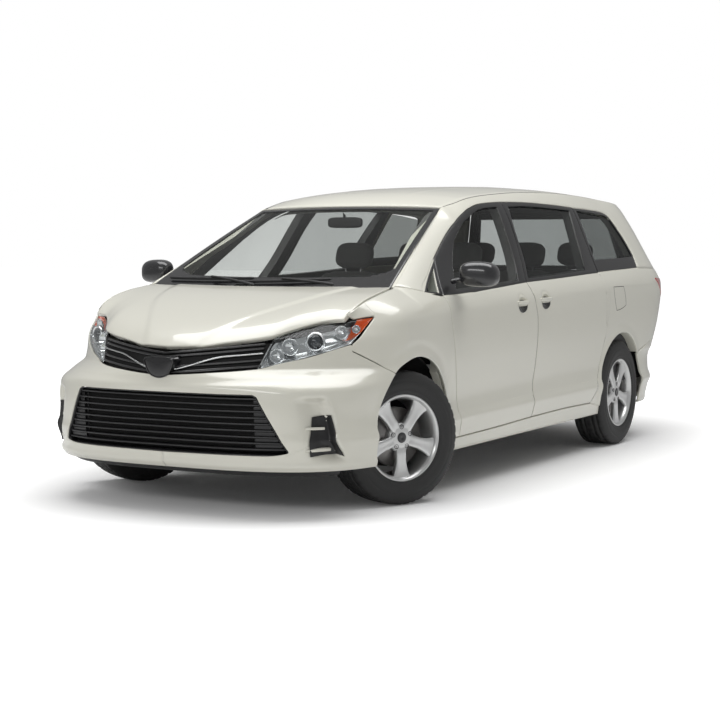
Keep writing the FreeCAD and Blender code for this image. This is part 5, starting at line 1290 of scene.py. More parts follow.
row_of, column_of = np.indices((LAMP_GRID[1] - 1, LAMP_GRID[0] - 1))
seen_marks = np.where((column_of > 49) & (row_of > 10), 2, np.where(row_of > 21, 1, 0)).ravel()
marks = np.zeros(len(housing[1]), np.int32)
marks[:len(seen_marks)] = seen_marks
lenses = fit_pair("headlamp_lens", lens, lens_material, "body", "lamp_lens")
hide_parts("headlamps")
for back in fit_pair("headlamp_housing", housing, dark_chrome, "body", "lamp_lens"):
    back.data.materials.append(gloss_black)
    back.data.materials.append(amber)
    back.data.polygons.foreach_set("material_index", marks)


def spun(profile, centre, axis, around=36):
    """A closed surface of revolution: a profile of (radius, distance along) carried round an axis."""
    profile = np.array(profile, float)
    axis = np.array(axis, float) / np.linalg.norm(axis)
    side = np.cross(axis, (0, 0, 1.0))
    side /= np.linalg.norm(side)
    up = np.cross(side, axis)
    turn = np.linspace(0, 2 * np.pi, around, endpoint=False)
    radius, along = profile.T
    ring = np.cos(turn)[None, :, None] * side + np.sin(turn)[None, :, None] * up
    points = np.array(centre, float) + radius[:, None, None] * ring + along[:, None, None] * axis
    faces = grid_faces(len(profile), around, wrap_rows=True, wrap_columns=True)
    after = np.roll(profile, -1, 0)
    area = np.sum(profile[:, 0] * after[:, 1] - after[:, 0] * profile[:, 1])
    return points.reshape(-1, 3), faces if area > 0 else faces[:, ::-1]


def bowl(radius, depth, wall=2):
    """Profile of a reflector bowl: a parabola from the rim back to its pole, and its outer side."""
    r = np.linspace(radius, 0.4, 12)
    inner = list(zip(r, -depth * (1 - (r / radius) ** 2)))
    outer = [(r0 + wall * r0 / radius, z0 - wall) for r0, z0 in inner]
    return inner + outer[::-1]


def behind_lens(y, z, depth):
    """The point at a depth under the nose at front-view (y, z)."""
    return lifted(nose_wrap, nose_plan([(y, z)])[None], float(depth))[0, 0]


BOWLS = [(560, 815, 36, 26, 20), (608, 862, 42, 30, 24), (786, 938, 33, 24, 22), (838, 948, 20, 14, 16)]
BOWL_AXIS = (0.9, 0.42, 0.08)
DOME = [(35, -20), (35, 0), (33, 6), (27, 13), (18, 18), (8, 21), (0.4, 22), (0.4, -20)]
DOME_RING = [(36, -14), (36, 4), (40, 9), (47, 10), (50, 5), (50, -14)]
DOME_AXIS = (0.92, 0.36, 0.05)
dome_place = behind_lens(708, 892, 26)
bright_parts = []
for y, z, radius, deep, sunk in BOWLS:
    bright_parts.append(spun(bowl(radius, deep), behind_lens(y, z, sunk), BOWL_AXIS))
bright_parts.append(spun(DOME_RING, dome_place, DOME_AXIS))
dome = spun(DOME, dome_place, DOME_AXIS)
projector_glass = plain_material("projector_glass", (0.02, 0.024, 0.03), 0.06, coat=1.0)
fit("headlamp_bowls", both_sides(join(bright_parts)), chrome, "body", "lamp_lens")
fit("headlamp_projectors", both_sides(dome), projector_glass, "body", "lamp_lens")

# Wheels
# Cast alloy wheels with five broad spokes carry radial tyres with grooved tread. Each wheel turns on its hub,
# and the front pair stands steered to one side, as in the picture.
KINGPIN_Y = 790
KINGPIN_INSET = 70
REAR_WHEEL_Y = 860
STEER_AT_REST = 26
steer = np.radians(STEER_AT_REST)
reach_x, reach_y = KINGPIN_INSET * np.sin(steer), KINGPIN_INSET * np.cos(steer)
WHEEL_PLACES = {
    "front_left": (FRONT_AXLE_X + reach_x, KINGPIN_Y + reach_y, -STEER_AT_REST),
    "front_right": (FRONT_AXLE_X - reach_x, -KINGPIN_Y - reach_y, 180 - STEER_AT_REST),
    "rear_left": (REAR_AXLE_X, REAR_WHEEL_Y, 0),
    "rear_right": (REAR_AXLE_X, -REAR_WHEEL_Y, 180),
}


def turned(profile, around, relief=None):
    """A closed surface of revolution about the local Y axis from a profile of (radius, along)."""
    radius, along = np.array(profile, float).T
    turn = np.linspace(0, 2 * np.pi, around, endpoint=False)
    r = radius[:, None] + 0 * turn[None, :]
    if relief is not None:
        r = r + relief(radius[:, None], along[:, None], turn[None, :])
    points = np.stack([r * np.cos(turn), along[:, None] + 0 * r, r * np.sin(turn)], -1)
    faces = grid_faces(len(profile), around, wrap_rows=True, wrap_columns=True)
    return outward((points.reshape(-1, 3), faces))


TREAD_Y = [92, 80, 69, 68, 60, 59, 46, 33, 32, 24, 23, 12]
WALL = [
    (218.3, 100), (224, 103), (231, 104), (240, 107.5), (246, 111.5), (251, 112), (256, 111), (270, 115.5),
    (288, 117), (300, 116), (301, 115.3), (306, 115.3), (307, 115.5), (322, 110), (334, 105), (342, 101.5),
    (348.5, 97),
]
BLOCK_STEPS = 240
GROOVE_DEPTH = 7.0
CUT_DEPTH = 5.0


def tread(radius, along, turn):
    """Relief of the tread: four grooves round the tyre, and cross cuts in the shoulder and centre blocks."""
    across = np.abs(along)
    groove = ((across > 23.5) & (across < 32.5)) | ((across > 59.5) & (across < 68.5))
    on_tread = radius > 347
    step = np.round(turn / (2 * np.pi) * BLOCK_STEPS + np.where(across < 59, 2, 0)).astype(int)
    cut = (step % 5 == 0) & ((across > 68.5) | (across < 23.5)) & (across < 97.5)
    return -GROOVE_DEPTH * (on_tread & groove) - CUT_DEPTH * (on_tread & cut & ~groove)


tyre_half = WALL + [(WHEEL_RADIUS - 4 * (y / 92) ** 3, y) for y in TREAD_Y]
tyre = turned(tyre_half + [(WHEEL_RADIUS, 0)] + [(r, -y) for r, y in reversed(tyre_half)], 220, tread)
RIM_PROFILE = [
    (230, -105.5), (230, -101), (219, -100), (214, -80), (214, 80), (219, 100), (230, 101), (230, 105),
    (226, 106.5), (221, 105.5), (216, 99), (209, 90), (205, 78), (204, 50), (206, -90), (212, -105.5),
]
HUB_PROFILE = [(0.4, 40), (78, 40), (80, 62), (76, 76), (66, 82), (50, 84), (31, 84.5), (0.4, 84.5)]
SPOKE_SECTION = [
    (-1, 30), (-1, 9), (-0.95, 4.5), (-0.84, 1.6), (-0.66, 0.4), (-0.3, 1.2), (0, 1.6), (0.3, 1.2),
    (0.66, 0.4), (0.84, 1.6), (0.95, 4.5), (1, 9), (1, 30),
]
SPOKES = 5
spoke_r = np.linspace(46, 212, 34)
spoke_half = through([(46, 32), (80, 31), (110, 31), (150, 36), (185, 46), (212, 62)], spoke_r)
spoke_face = through([(46, 84), (90, 87), (140, 87), (180, 88.5), (212, 92)], spoke_r)
across, deep = np.array(SPOKE_SECTION, float).T[:, None]
spoke_grid = np.stack([
    across * spoke_half[:, None], spoke_face[:, None] - deep, -spoke_r[:, None] + 0 * across,
], -1)
spoke_faces = grid_faces(*spoke_grid.shape[:2], wrap_columns=True)
spokes = []
for number in range(SPOKES):
    turn = np.radians(360 / SPOKES * number)
    matrix = np.array([[np.cos(turn), 0, np.sin(turn)], [0, 1, 0], [-np.sin(turn), 0, np.cos(turn)]])
    spokes.append(outward((spoke_grid.reshape(-1, 3) @ matrix.T, spoke_faces)))
rim = join([turned(RIM_PROFILE, 120), turned(HUB_PROFILE, 90), join(spokes)])
CAP_PROFILE = [(0.4, 78), (27, 78), (28, 86), (25.5, 88.5), (18, 89.6), (0.4, 90)]
# Round each nut a dark ring rises from the hub: painted shade for the nut's bore.
NUT_HOLE_SHADE = [(7.5, 70), (12.5, 70), (12.5, 85.4), (11, 85.8), (7.5, 80)]
NUT = [(0.4, 70), (7.6, 70), (7.6, 81), (5.5, 83.5), (0.4, 84)]
NUT_CIRCLE = 57
cap_and_hole_shade_parts, nuts = [turned(CAP_PROFILE, 48)], []
for number in range(SPOKES):
    turn = np.radians(360 / SPOKES * (number + 0.5))
    place = np.array([NUT_CIRCLE * np.sin(turn), 0, -NUT_CIRCLE * np.cos(turn)])
    for profile, around, parts in ((NUT_HOLE_SHADE, 24, cap_and_hole_shade_parts), (NUT, 6, nuts)):
        points, faces = turned(profile, around)
        parts.append((points + place, faces))
DISC_PROFILE = [
    (60, 5.5), (158, 5.5), (158, 15), (150, 15.5), (150, 21.5), (158, 22), (158, 31.5), (90, 31.5), (84, 40),
    (60, 40),
]
tyre_rubber = plain_material("tyre_rubber", (0.022, 0.022, 0.022), 0.62, grain=0.35, grain_scale=600)
alloy_silver = plain_material("lacquered_alloy", (0.62, 0.625, 0.62), 0.3, metallic=0.75, coat=0.7)
nut_steel = plain_material("nut_steel", (0.3, 0.3, 0.3), 0.35, metallic=1.0)
# Dark for the hub cap, and painted shade in the nut bores.
cap_black_and_hole_shade = plain_material("hub_cap_dark_and_hole_shade", (0.03, 0.03, 0.032), 0.3, coat=0.3)
disc_iron = plain_material(
    "brake_disc_iron", (0.33, 0.32, 0.31), 0.4, metallic=0.9, grain=0.2, grain_scale=1500,
)
WHEEL_PARTS = [
    ("tyre_rubber", tyre, tyre_rubber, "tyre_rubber", ["tyre_"]),
    ("wheel", rim, alloy_silver, "alloy", ["rim_"]),
    ("wheel_cap_and_hole_shade", join(cap_and_hole_shade_parts), cap_black_and_hole_shade, "black_plastic", []),
    ("wheel_nuts", join(nuts), nut_steel, "alloy", []),
    ("brake_disc", turned(DISC_PROFILE, 90), disc_iron, "chassis_iron", []),
]
for corner, (x, y, angle) in WHEEL_PLACES.items():
    turn = np.radians(angle)
    matrix = np.array([[np.cos(turn), -np.sin(turn), 0], [np.sin(turn), np.cos(turn), 0], [0, 0, 1]])
    for name, (points, faces), material, slot, nodes in WHEEL_PARTS:
        placed = points @ matrix.T + [x, y, WHEEL_RADIUS], faces
        stood_for = [node + corner for node in nodes]
        fit(name + "_" + corner, placed, material, "wheel_" + corner, slot, *stood_for)

# Wheel arch liners, black moulded plastic, with ridges across them and a lip that meets the arch's edge
LINER_WALL = 3
liners = []
for axle, radius, edge_radius, y_in, y_out in (
    (FRONT_AXLE_X, 432, FRONT_ARCH_RADIUS + 6, 535, 900), (REAR_AXLE_X, 402, REAR_ARCH_RADIUS + 6, 705, 905),
):
    turn = np.radians(np.linspace(-19, 199, 90))[:, None]
    along = np.array([y_in, y_in + 20, 700, 800, y_out - 8, y_out, y_out + 22, y_out + 24], float)[None, :]
    reach = np.where(along <= y_out, radius, edge_radius) + 3 * np.cos(turn * 24) * (along < y_out)
    sides = []
    for r in (reach, reach + LINER_WALL):
        high = WHEEL_RADIUS + ARCH_RISE + r * np.sin(turn)
        sides.append(np.stack([axle + r * np.cos(turn), along + 0 * turn, high], -1))
    liners.append(both_sides(outward(shell(*sides))))
fit("arch_liners", join(liners), matt_black_and_gap_shade, "body", "black_plastic")

# Door mirrors
# Each mirror is a moulded black housing on a short foot, screwed to the front door, with a flat glass behind.
egg_u, egg_v = np.meshgrid(np.linspace(0, 2 * np.pi, 45)[:-1], np.linspace(-np.pi / 2, np.pi / 2, 25))


def soft_power(value, power):
    """A signed power, for superellipsoids."""
    return np.sign(value) * np.abs(value) ** power


def egg(centre, half, around_power, up_power):
    """A superellipsoid grid: cosines and sines raised to powers, times three half sizes."""
    x = soft_power(np.cos(egg_v), up_power) * soft_power(np.cos(egg_u), around_power)
    y = soft_power(np.cos(egg_v), up_power) * soft_power(np.sin(egg_u), around_power)
    z = soft_power(np.sin(egg_v), up_power)
    return np.array(centre) + np.stack([x, y, z], -1) * np.array(half)


def poled(grid):
    """Points and faces of a grid that closes round its columns and meets at a pole at both ends."""
    return outward((grid.reshape(-1, 3), grid_faces(*grid.shape[:2], wrap_columns=True)))


MIRROR_INNER_Y = 981
MIRROR_WIDTH = 214
housing = egg((1052, 1088, 1213), (72, 107, 70), 0.7, 0.7)
outboard = np.clip((housing[..., 1] - MIRROR_INNER_Y) / MIRROR_WIDTH, 0, 1)
housing[..., 0] += 14 * (1 - outboard) - 12 * outboard**2
housing[..., 2] += -10 * outboard**3 - 4
housing[..., 0] = np.maximum(housing[..., 0], 989 + 8 * outboard)
foot_share = np.linspace(0, 1, 20)[:, None]
foot_line = np.array([1045, 915, 1166]) * (1 - foot_share) + np.array([1043, 1040, 1188]) * foot_share
foot_radii = np.stack([32 + 0 * foot_share[:, 0], 17 - 3 * foot_share[:, 0]], 1)
foot_radii[[0, -1]] = 1
mirror_shell = join([poled(housing), outward(tube(foot_line, foot_radii, 28))])
glass_u, glass_v = np.meshgrid(np.linspace(-1, 1, 17), np.linspace(-1, 1, 11))
mirror_face = np.stack([
    986.5 + 8 * (glass_u + 1) / 2,
    1100 + 80 * glass_u * np.sqrt(1 - 0.35 * glass_v**2),
    1207 + 47 * glass_v * np.sqrt(1 - 0.3 * glass_u**2),
], -1)
mirror_glass = outward(shell(mirror_face, mirror_face + [4, 0, 0]))
mirror_black = plain_material("mirror_black", (0.02, 0.02, 0.022), 0.24, coat=0.6)
mirror_silver = plain_material("mirror_silver", (0.75, 0.77, 0.78), 0.03, metallic=1.0)
fit_pair("mirror_housing", mirror_shell, mirror_black, "door_*", "black_plastic", "mirror_*")
fit_pair("mirror_glass", mirror_glass, mirror_silver, "door_*", "black_plastic")

# Door seals: black rubber lips that fill the bottom of the shut gaps, pushed on the body's edges
# The lips sit just under the skin, so their black is also painted shade for the gaps.
seals_and_gap_shade = []
for line in (CENTRE_GAP_LOWER, REAR_GAP_LOWER):
    middle = drawn([line], 60)
    along = np.gradient(middle, axis=0)
    across = np.stack([along[:, 1], -along[:, 0]], -1) / np.linalg.norm(along, axis=1)[:, None]
    seal_plan = middle + np.array([-1, 0, 1])[:, None, None] * (HALF_GAP - 0.2) * across
    seals_and_gap_shade.append(outward(slab(side_surface, seal_plan, 0.5, 5.0)))
fit("door_seals", both_sides(join(seals_and_gap_shade)), rubber_black_and_gap_shade, "body", "black_plastic")

# Door handles
# A dark bowl-shaped cup is pressed in behind each grip; the grip is a painted bar, fixed at both ends.
CUP_HALF_LONG, CUP_HALF_HIGH = 63, 44
GRIP_HALF_LONG = 82
handle_black = plain_material("handle_cup_black", (0.018, 0.018, 0.018), 0.28, coat=0.4)
for (x, z), name, body in zip(HANDLE_PLACES, ("front", "sliding"), ("door_*", "body")):
    radius, turn = np.linspace(0.02, 1, 16)[:, None], np.linspace(0, 2 * np.pi, 49)[None, :-1]
    cup_x, cup_z = x + CUP_HALF_LONG * radius * np.cos(turn), z - 8 + CUP_HALF_HIGH * radius * np.sin(turn)
    plan = np.stack([cup_x, cup_z], -1)
    floor_depth = -cup(plan) - SKIN_PROUD
    top = lifted(side_surface, plan, floor_depth - 1.2)
    low = lifted(side_surface, plan, floor_depth + 1)
    along = np.linspace(-1, 1, 40)
    grip_plan = np.stack([x + GRIP_HALF_LONG * along, z + 7 + 3 * along**2], -1)
    grip_line = lifted(side_surface, grip_plan[None], (-10 + 9 * np.abs(along) ** 5)[None])[0]
    grip = outward(tube(grip_line, np.stack([7.5 - 2 * along**4, 13 - 4 * along**2], 1), 20))
    cup_lining = poled(np.concatenate([top, low[::-1]]))
    fit_pair(name + "_handle_cup", cup_lining, handle_black, body, "black_plastic")
    fit_pair(name + "_handle_grip", grip, paint, body, "pearl_paint")

# Fuel door
# The left quarter panel holds a rounded flap; its gap is painted shade, a matt black ring laid on the skin.
FUEL_DOOR = [
    (-1256, 1083), (-1434, 1083), (-1440, 1079), (-1476, 955), (-1472, 950), (-1303, 921), (-1298, 925),
    (-1252, 1078),
]
FLAT_SECTION = [(0, 1), (0, 0), (1, 0), (1, 1)]
flap_loop = closed_line([FUEL_DOOR + FUEL_DOOR[:1]], (160,))
flap_gap_shade = ring_sheet(side_surface, flap_loop, inset_loop(flap_loop, 3.5), FLAT_SECTION, SKIN_PROUD + 0.25)
fit("fuel_door_painted_gap_shade", flap_gap_shade, matt_black_and_gap_shade, "body", "black_plastic")

# Tail
# The liftgate is a painted pressing with a heated window, a recess for a blank plate and a spoiler lip above.
# Red lamps stand at the corners and a moulded bumper closes the foot.
GATE_DEPTH = 30
GATE_SIDE = [(700, 706), (715, 1100), (694, 1172)]
PLATE_RECESS = 22


def tail_wrap(s, z):
    """The tail over a plan angle, 18 mm to a degree and zero dead behind, and a height."""
    return tail_surface(np.radians(np.asarray(s) / TAIL_STEP), z)


def tail_plan(points):
    """Plan coordinates on the tail of (y, z) points as seen from behind."""
    y, z = np.array(points, float).T
    reach, power = through(TAIL_REACH, z), through(TAIL_SQUARENESS, z)
    x = reach * (1 - (np.abs(y) / side_profile(TAIL_START, z)) ** power) ** (1 / power)
    return np.stack([np.degrees(np.arctan2(y, x)) * TAIL_STEP, z], -1)


def gate_relief(plan):
    """The plate's recess between the lamps, a crease under the window and a swell at the handle."""
    y, z = tail_wrap(plan[..., 0], plan[..., 1])[..., 1], plan[..., 1]
    recess = ramp(z, 795, 815) * (1 - ramp(z, 955, 975)) * ramp(-np.abs(y), -300, -275)
    crease = 7 * bell(z, 1080, 26)
    swell = 10 * bell(z, 1000, 16) * ramp(-np.abs(y), -330, -300)
    return crease + swell - PLATE_RECESS * recess


def level_line(half, z):
    """A level line across the tail, from right to left."""
    return [(-half, z), (half, z)]


def right_hand(line):
    """The mirror image of drawn (y, z) points."""
    return [(-y, z) for y, z in line]


lower_gate, edge_depth = rolled(patch(
    level_line(700, 706), level_line(694, 1172), (87, 70), right_hand(GATE_SIDE), GATE_SIDE, tail_plan
))
gate_skin = slab(tail_wrap, lower_gate, edge_depth - gate_relief(lower_gate) - SKIN_PROUD, GATE_DEPTH)
fit("liftgate_skin", outward(gate_skin), paint, "gate", "pearl_paint", "liftgate")

SPOILER_BACK_X = -2340
SPOILER_FRONT_X = GATE_GAP_X - 3
SPOILER_REACH = 0.93
SPOILER_DEPTH = 26
spoiler_plan = roof_plan(SPOILER_BACK_X, SPOILER_FRONT_X, SPOILER_REACH, 24, 56)
x, away = spoiler_plan[..., 0], np.abs(spoiler_plan[..., 1])
near_end = np.minimum(x - SPOILER_BACK_X, SPOILER_FRONT_X - x) / 7
end_share = np.clip(np.minimum((SPOILER_REACH - away) / 0.01, near_end), 0, 1)
spoiler = slab(roof_surface, spoiler_plan, 5 * (1 - end_share) ** 2 - 1.5, SPOILER_DEPTH, ROOF_STEP)
fit("liftgate_spoiler", outward(spoiler), paint, "gate", "pearl_paint")

GATE_WINDOW_FOOT = level_line(585, 1205)
GATE_WINDOW_HEAD = level_line(510, 1560)
GATE_FRAME_SIDE = [(690, 1180), (590, 1560), (556, 1668)]
gate_outer = [
    level_line(690, 1180), GATE_FRAME_SIDE, level_line(556, 1668)[::-1], right_hand(GATE_FRAME_SIDE)[::-1],
]
gate_inner = [
    GATE_WINDOW_FOOT, [GATE_WINDOW_FOOT[1], GATE_WINDOW_HEAD[1]], GATE_WINDOW_HEAD[::-1],
    [GATE_WINDOW_HEAD[0], GATE_WINDOW_FOOT[0]],
]
FRAME_STEPS = (91, 60, 91, 60)
outer = inset_loop(tail_plan(closed_line(gate_outer, FRAME_STEPS)), HALF_GAP)
inner = tail_plan(closed_line(gate_inner, FRAME_STEPS))
gate_frame = ring_sheet(tail_wrap, outer, inner, [(0, GATE_DEPTH), *ROUNDED_TOP, (1, GATE_DEPTH)], 1.5)
fit("liftgate_window_frame", gate_frame, gloss_black, "gate", "black_plastic")
TRIM_SIDE = [(670, 724), (684, 1100), (662, 1168)]
trim_plan, trim_depth = rolled(patch(
    level_line(670, 724), level_line(662, 1168), (51, 30), right_hand(TRIM_SIDE), TRIM_SIDE, tail_plan
))
gate_trim_grey = plain_material("liftgate_trim_grey", (0.09, 0.09, 0.088), 0.6, grain=0.1, grain_scale=700)
gate_trim = slab(tail_wrap, trim_plan, GATE_DEPTH + 0.5, GATE_DEPTH + 9 - trim_depth)
fit("liftgate_trim", outward(gate_trim), gate_trim_grey, "gate", "cabin_plastic")
rear_pane = slab(tail_wrap, patch(GATE_WINDOW_FOOT, GATE_WINDOW_HEAD, (46, 24), place=tail_plan), 2.0, 6.0)
fit("liftgate_pane", outward(rear_pane), side_tint, "gate", "tinted_glass", "liftgate_glass")
plate_plan = patch(level_line(160, 820), level_line(160, 945), (31, 14), place=tail_plan)
plate_white = plain_material("blank_plate", (0.6, 0.6, 0.58), 0.4)
fit("rear_blank_plate", outward(slab(tail_wrap, plate_plan, 14.0, 18.5)), plate_white, "gate", "alloy")

# Tail lamps: a red lens over each rear corner
lamp_low = tail_station([(-2092, 1118), (-2200, 1052), (-2320, 984)])
lamp_low += tail_station([(724, 952)], from_behind=True)
lamp_high = tail_station([(-2094, 1126), (-2200, 1124), (-2320, 1122)])
lamp_high += tail_station([(722, 1120)], from_behind=True)
lamp_plan, lamp_depth = rolled(patch(lamp_low, lamp_high, (48, 18)))
lamp_depth = np.minimum(lamp_depth, 10)
red_part = outward(slab(wrap_surface, lamp_plan, lamp_depth - 5, lamp_depth + 2))
red_lens = plain_material("red_lamp_lens", (0.42, 0.012, 0.012), 0.12, coat=1.0)
fit("tail_lamp_lenses", both_sides(red_part), red_lens, "body", "red_lens", "tail_lamps")

# Rear bumper: one moulded cover round the tail, with a step on top and a reflector slot at each side
REAR_FOOT_Z = 250
TAIL_MIDDLE = TAIL_START - 90 * TAIL_STEP
arch_side = [(float(x), float(z)) for x, z in arch(REAR_AXLE_X, REAR_ARCH_RADIUS, 144, 198, 40)[::-1]]
upper_side = tail_station([(-1763, 606), (-1860, 640), (-2150, 700), (-2350, 706)])
lower_side = tail_station([(x, REAR_FOOT_Z) for x in (arch_side[0][0], -1950, -2200, -2380)])
bumper_upper = upper_side + tail_station([(y, 706) for y in (700, 350, 1)], from_behind=True)
bumper_lower = lower_side + tail_station([(y, REAR_FOOT_Z) for y in (560, 300, 1)], from_behind=True)
rear_plan = patch(bumper_lower, bumper_upper, (90, 36), arch_side)
mirrored_plan = rear_plan[:, ::-1] * [-1, 1] + [2 * TAIL_MIDDLE, 0]
full_rear = np.concatenate([rear_plan[:, :-1], mirrored_plan], 1)


def rear_round(s, z):
    """The whole way round the tail: past dead behind, the mirror image of the left side."""
    beyond = s < TAIL_MIDDLE
    points = wrap_surface(np.where(beyond, 2 * TAIL_MIDDLE - s, s), z)
    return points * np.stack([1 + 0 * s, np.where(beyond, -1, 1), 1 + 0 * s], -1)


def rear_relief(plan):
    """The bumper's step, a crease at mid height and a lower lip's swell."""
    z = plan[..., 1]
    return 5 * bell(z, 640, 18) + 6 * bell(z, 420, 24) + 5 * bell(z, 275, 18)


rear_skin = outward(sheet_metal(rear_round, full_rear, relief=rear_relief, thickness=3))
fit("rear_bumper_skin", rear_skin, paint, "body", "pearl_paint", "rear_bumper")
reflectors = []
for side in (1, -1):
    foot, head = [(side * 560, 455), (side * 760, 465)], [(side * 560, 487), (side * 760, 491)]
    reflectors.append(outward(slab(tail_wrap, patch(foot, head, (24, 8), place=tail_plan), -5.0, 1.0)))
fit("rear_reflectors", join(reflectors), red_lens, "body", "red_lens")

# Seats
# Sprung seats in woven grey cloth: each has a cushion and a back with side bolsters, and a head restraint.
# The pads are crowned closed forms whose sides pull in between their corners.
THREAD_SCALE = 260
cloth, tree = new_material("woven_seat_cloth")
place = add_node(tree, "TexCoord")
threads = []
for direction in ("Y", "Z"):
    inputs = {"Scale": THREAD_SCALE, "Distortion": 1.5, "Vector": place.outputs["Object"]}
    threads.append(add_node(tree, "TexWave", inputs, bands_direction=direction).outputs["Fac"])
weave = add_node(tree, "Math", {0: threads[0], 1: threads[1]}, operation="MULTIPLY")
yarn = add_node(tree, "Mix", {
    "A": (0.085, 0.085, 0.083, 1), "B": (0.15, 0.15, 0.145, 1), "Factor": weave.outputs["Value"],
}, data_type="RGBA")
relief = add_node(tree, "Bump", {"Strength": 0.4, "Distance": GRAIN_HEIGHT, "Height": weave.outputs["Value"]})
shade = add_node(tree, "BsdfPrincipled", {
    "Base Color": yarn.outputs["Result"], "Roughness": 0.9, "Sheen Weight": 0.25,
    "Normal": relief.outputs["Normal"],
})
add_node(tree, "OutputMaterial", {"Surface": shade.outputs["BSDF"]})


def pad(centre, half, power=0.45, lean=0.0, waist=0.04, channels=0):
    """A padded form: a superellipsoid drawn in at mid-side, with sewn channels across it, leaned back."""
    grid = egg((0, 0, 0), (1, 1, 1), power, power)
    x, y, z = grid[..., 0], grid[..., 1], grid[..., 2]
    draw = 1 - waist * (1 - np.abs(y) ** 2) * np.abs(x) ** 4
    seam = 0
    for number in range(channels):
        line = -0.62 + 1.24 * number / max(channels - 1, 1)
        seam = seam + 0.05 * bell(y, line, 0.035)
    x = (x * draw - np.sign(x) * seam * np.abs(x)) * half[0]
    z = (z * (1 - waist * (1 - y * y)) - np.sign(z) * seam * np.abs(z)) * half[2]
    turn = np.radians(lean)
    leaned = [x * np.cos(turn) - z * np.sin(turn), y * half[1], x * np.sin(turn) + z * np.cos(turn)]
    return poled(np.stack(leaned, -1) + np.array(centre))


BACK_LEAN = 18
BACK_SET = 262
BACK_FOOT_Z = 610


def seat_parts(x, y, width, heads):
    """Pads of a seat round its middle: cushion, leaned back, bolsters and head restraints."""
    half = width / 2
    axis = np.array([-np.sin(np.radians(BACK_LEAN)), 0, np.cos(np.radians(BACK_LEAN))])
    foot = np.array([x - BACK_SET, y, BACK_FOOT_Z])
    parts = [
        pad((x + 10, y, 565), (262, half - 4, 74), channels=2),
        pad(foot + axis * 300, (62, half - 4, 318), lean=BACK_LEAN, channels=2),
    ]
    for side in (-1, 1):
        parts.append(pad((x + 20, y + side * (half - 40), 595), (235, 42, 62), 0.6))
        bolster = foot + axis * 265 + [30, side * (half - 42), 0]
        parts.append(pad(bolster, (58, 42, 240), 0.6, lean=BACK_LEAN))
    for offset in heads:
        parts.append(pad(foot + axis * 720 + [14, offset, 0], (48, 132, 88), 0.62, lean=BACK_LEAN))
    return parts


# Bright posts carry the head restraints, along the backs' lean; its sine and cosine are 0.309 and 0.951.
# Black frames carry the cushions.
LEAN_BACK, LEAN_UP = 0.309, 0.951
POST_START, POST_LENGTH = 590, 90
SEAT_RAIL_TOP = 500
SEAT_ROWS = [
    ("front", 310, (-390, 390), 520, (0,), 296), ("second", -620, (-420, 420), 500, (0,), 300),
    ("bench", -1560, (0,), 1180, (-390, 0, 390), 300),
]
SEAT_NODES = {"front_seat_1": ["front_seats"], "bench_seat_1": ["rear_seats"]}
post_metal = plain_material("head_restraint_posts", (0.5, 0.5, 0.5), 0.25, metallic=1.0)
post_radii = np.full(8, 6.0)
post_radii[[0, -1]] = 0.5
post_share = np.linspace(0, 1, 8)[:, None]
posts, frames = [], []
for row, x, sides, width, heads, rail_z in SEAT_ROWS:
    for number, y in enumerate(sides):
        name = "%s_seat_%d" % (row, number + 1)
        seat = join(seat_parts(x, y, width, heads))
        piece = fit(name, seat, cloth, "body", "seat_cloth", *SEAT_NODES.get(name, []))
        post_x, post_z = x - BACK_SET - LEAN_BACK * POST_START, BACK_FOOT_Z + LEAN_UP * POST_START
        for post_y in [y + offset + side for offset in heads for side in (-55, 55)]:
            low = np.array([post_x, post_y, post_z])
            path = low + post_share * np.array([-LEAN_BACK * POST_LENGTH + 6, 0, LEAN_UP * POST_LENGTH])
            posts.append(outward(tube(path, post_radii, 10)))
        for side in (-1, 1):
            centre = x, y + side * (width / 2 - 90), (rail_z + SEAT_RAIL_TOP) / 2
            base = egg(centre, (210, 30, (SEAT_RAIL_TOP - rail_z) / 2), 0.3, 0.3)
            frames.append(poled(base[::2, ::2]))
fit("head_restraint_posts", join(posts), post_metal, "body", "alloy")
fit("seat_frames", join(frames), satin_black, "body", "cabin_plastic")

# Cabin trim
# Grained plastic mouldings: the dashboard, its gauge hood and screen, the headliner, the load space's trim
# and the inner mirror. They are clipped or screwed to the body's pressings.
DASH_HALF = 755
DASH_WALL = 26
SCREEN_FOOT, SCREEN_HEAD, SCREEN_HALF = 880, 985, 130
DASH_X = [(0, 1116), (0.3, 1100), (0.5, 1020), (0.62, 935), (0.72, 905), (0.85, 912), (1, 960)]
DASH_Z = [(0, 1052), (0.3, 1062), (0.5, 1058), (0.62, 1036), (0.72, 990), (0.85, 860), (1, 720)]
grained = plain_material("grained_cabin_plastic", (0.035, 0.035, 0.036), 0.7, grain=0.1, grain_scale=700)
headliner_cloth = plain_material("headliner_cloth", (0.42, 0.42, 0.40), 0.95, grain=0.3, grain_scale=2000)
dash_y = np.linspace(-1, 1, 90)[None, :]
dash_t = np.linspace(0, 1, 40)[:, None]
gauge_hood = 26 * np.exp(-(((dash_y * DASH_HALF - 390) / 190) ** 4)) * bell(dash_t, 0.52, 0.12)
dash_x = through(DASH_X, dash_t) + 12 * (1 - dash_y**2) * (dash_t < 0.9)
dash_z = through(DASH_Z, dash_t) + gauge_hood
dash_top = np.stack([dash_x, DASH_HALF * dash_y + 0 * dash_t, dash_z], -1)
dash = outward(shell(dash_top, dash_top * [1, 0.99, 1] + [DASH_WALL, 0, -DASH_WALL]))
fit("dashboard_skin", dash, grained, "body", "cabin_plastic", "dashboard")
screen_y, screen_z = np.meshgrid(
    np.linspace(-SCREEN_HALF, SCREEN_HALF, 20), np.linspace(SCREEN_FOOT, SCREEN_HEAD, 12)
)
screen_lean = 6 * (screen_z - SCREEN_FOOT) / (SCREEN_HEAD - SCREEN_FOOT)
screen_face = np.stack([904 - screen_lean, screen_y, screen_z], -1)
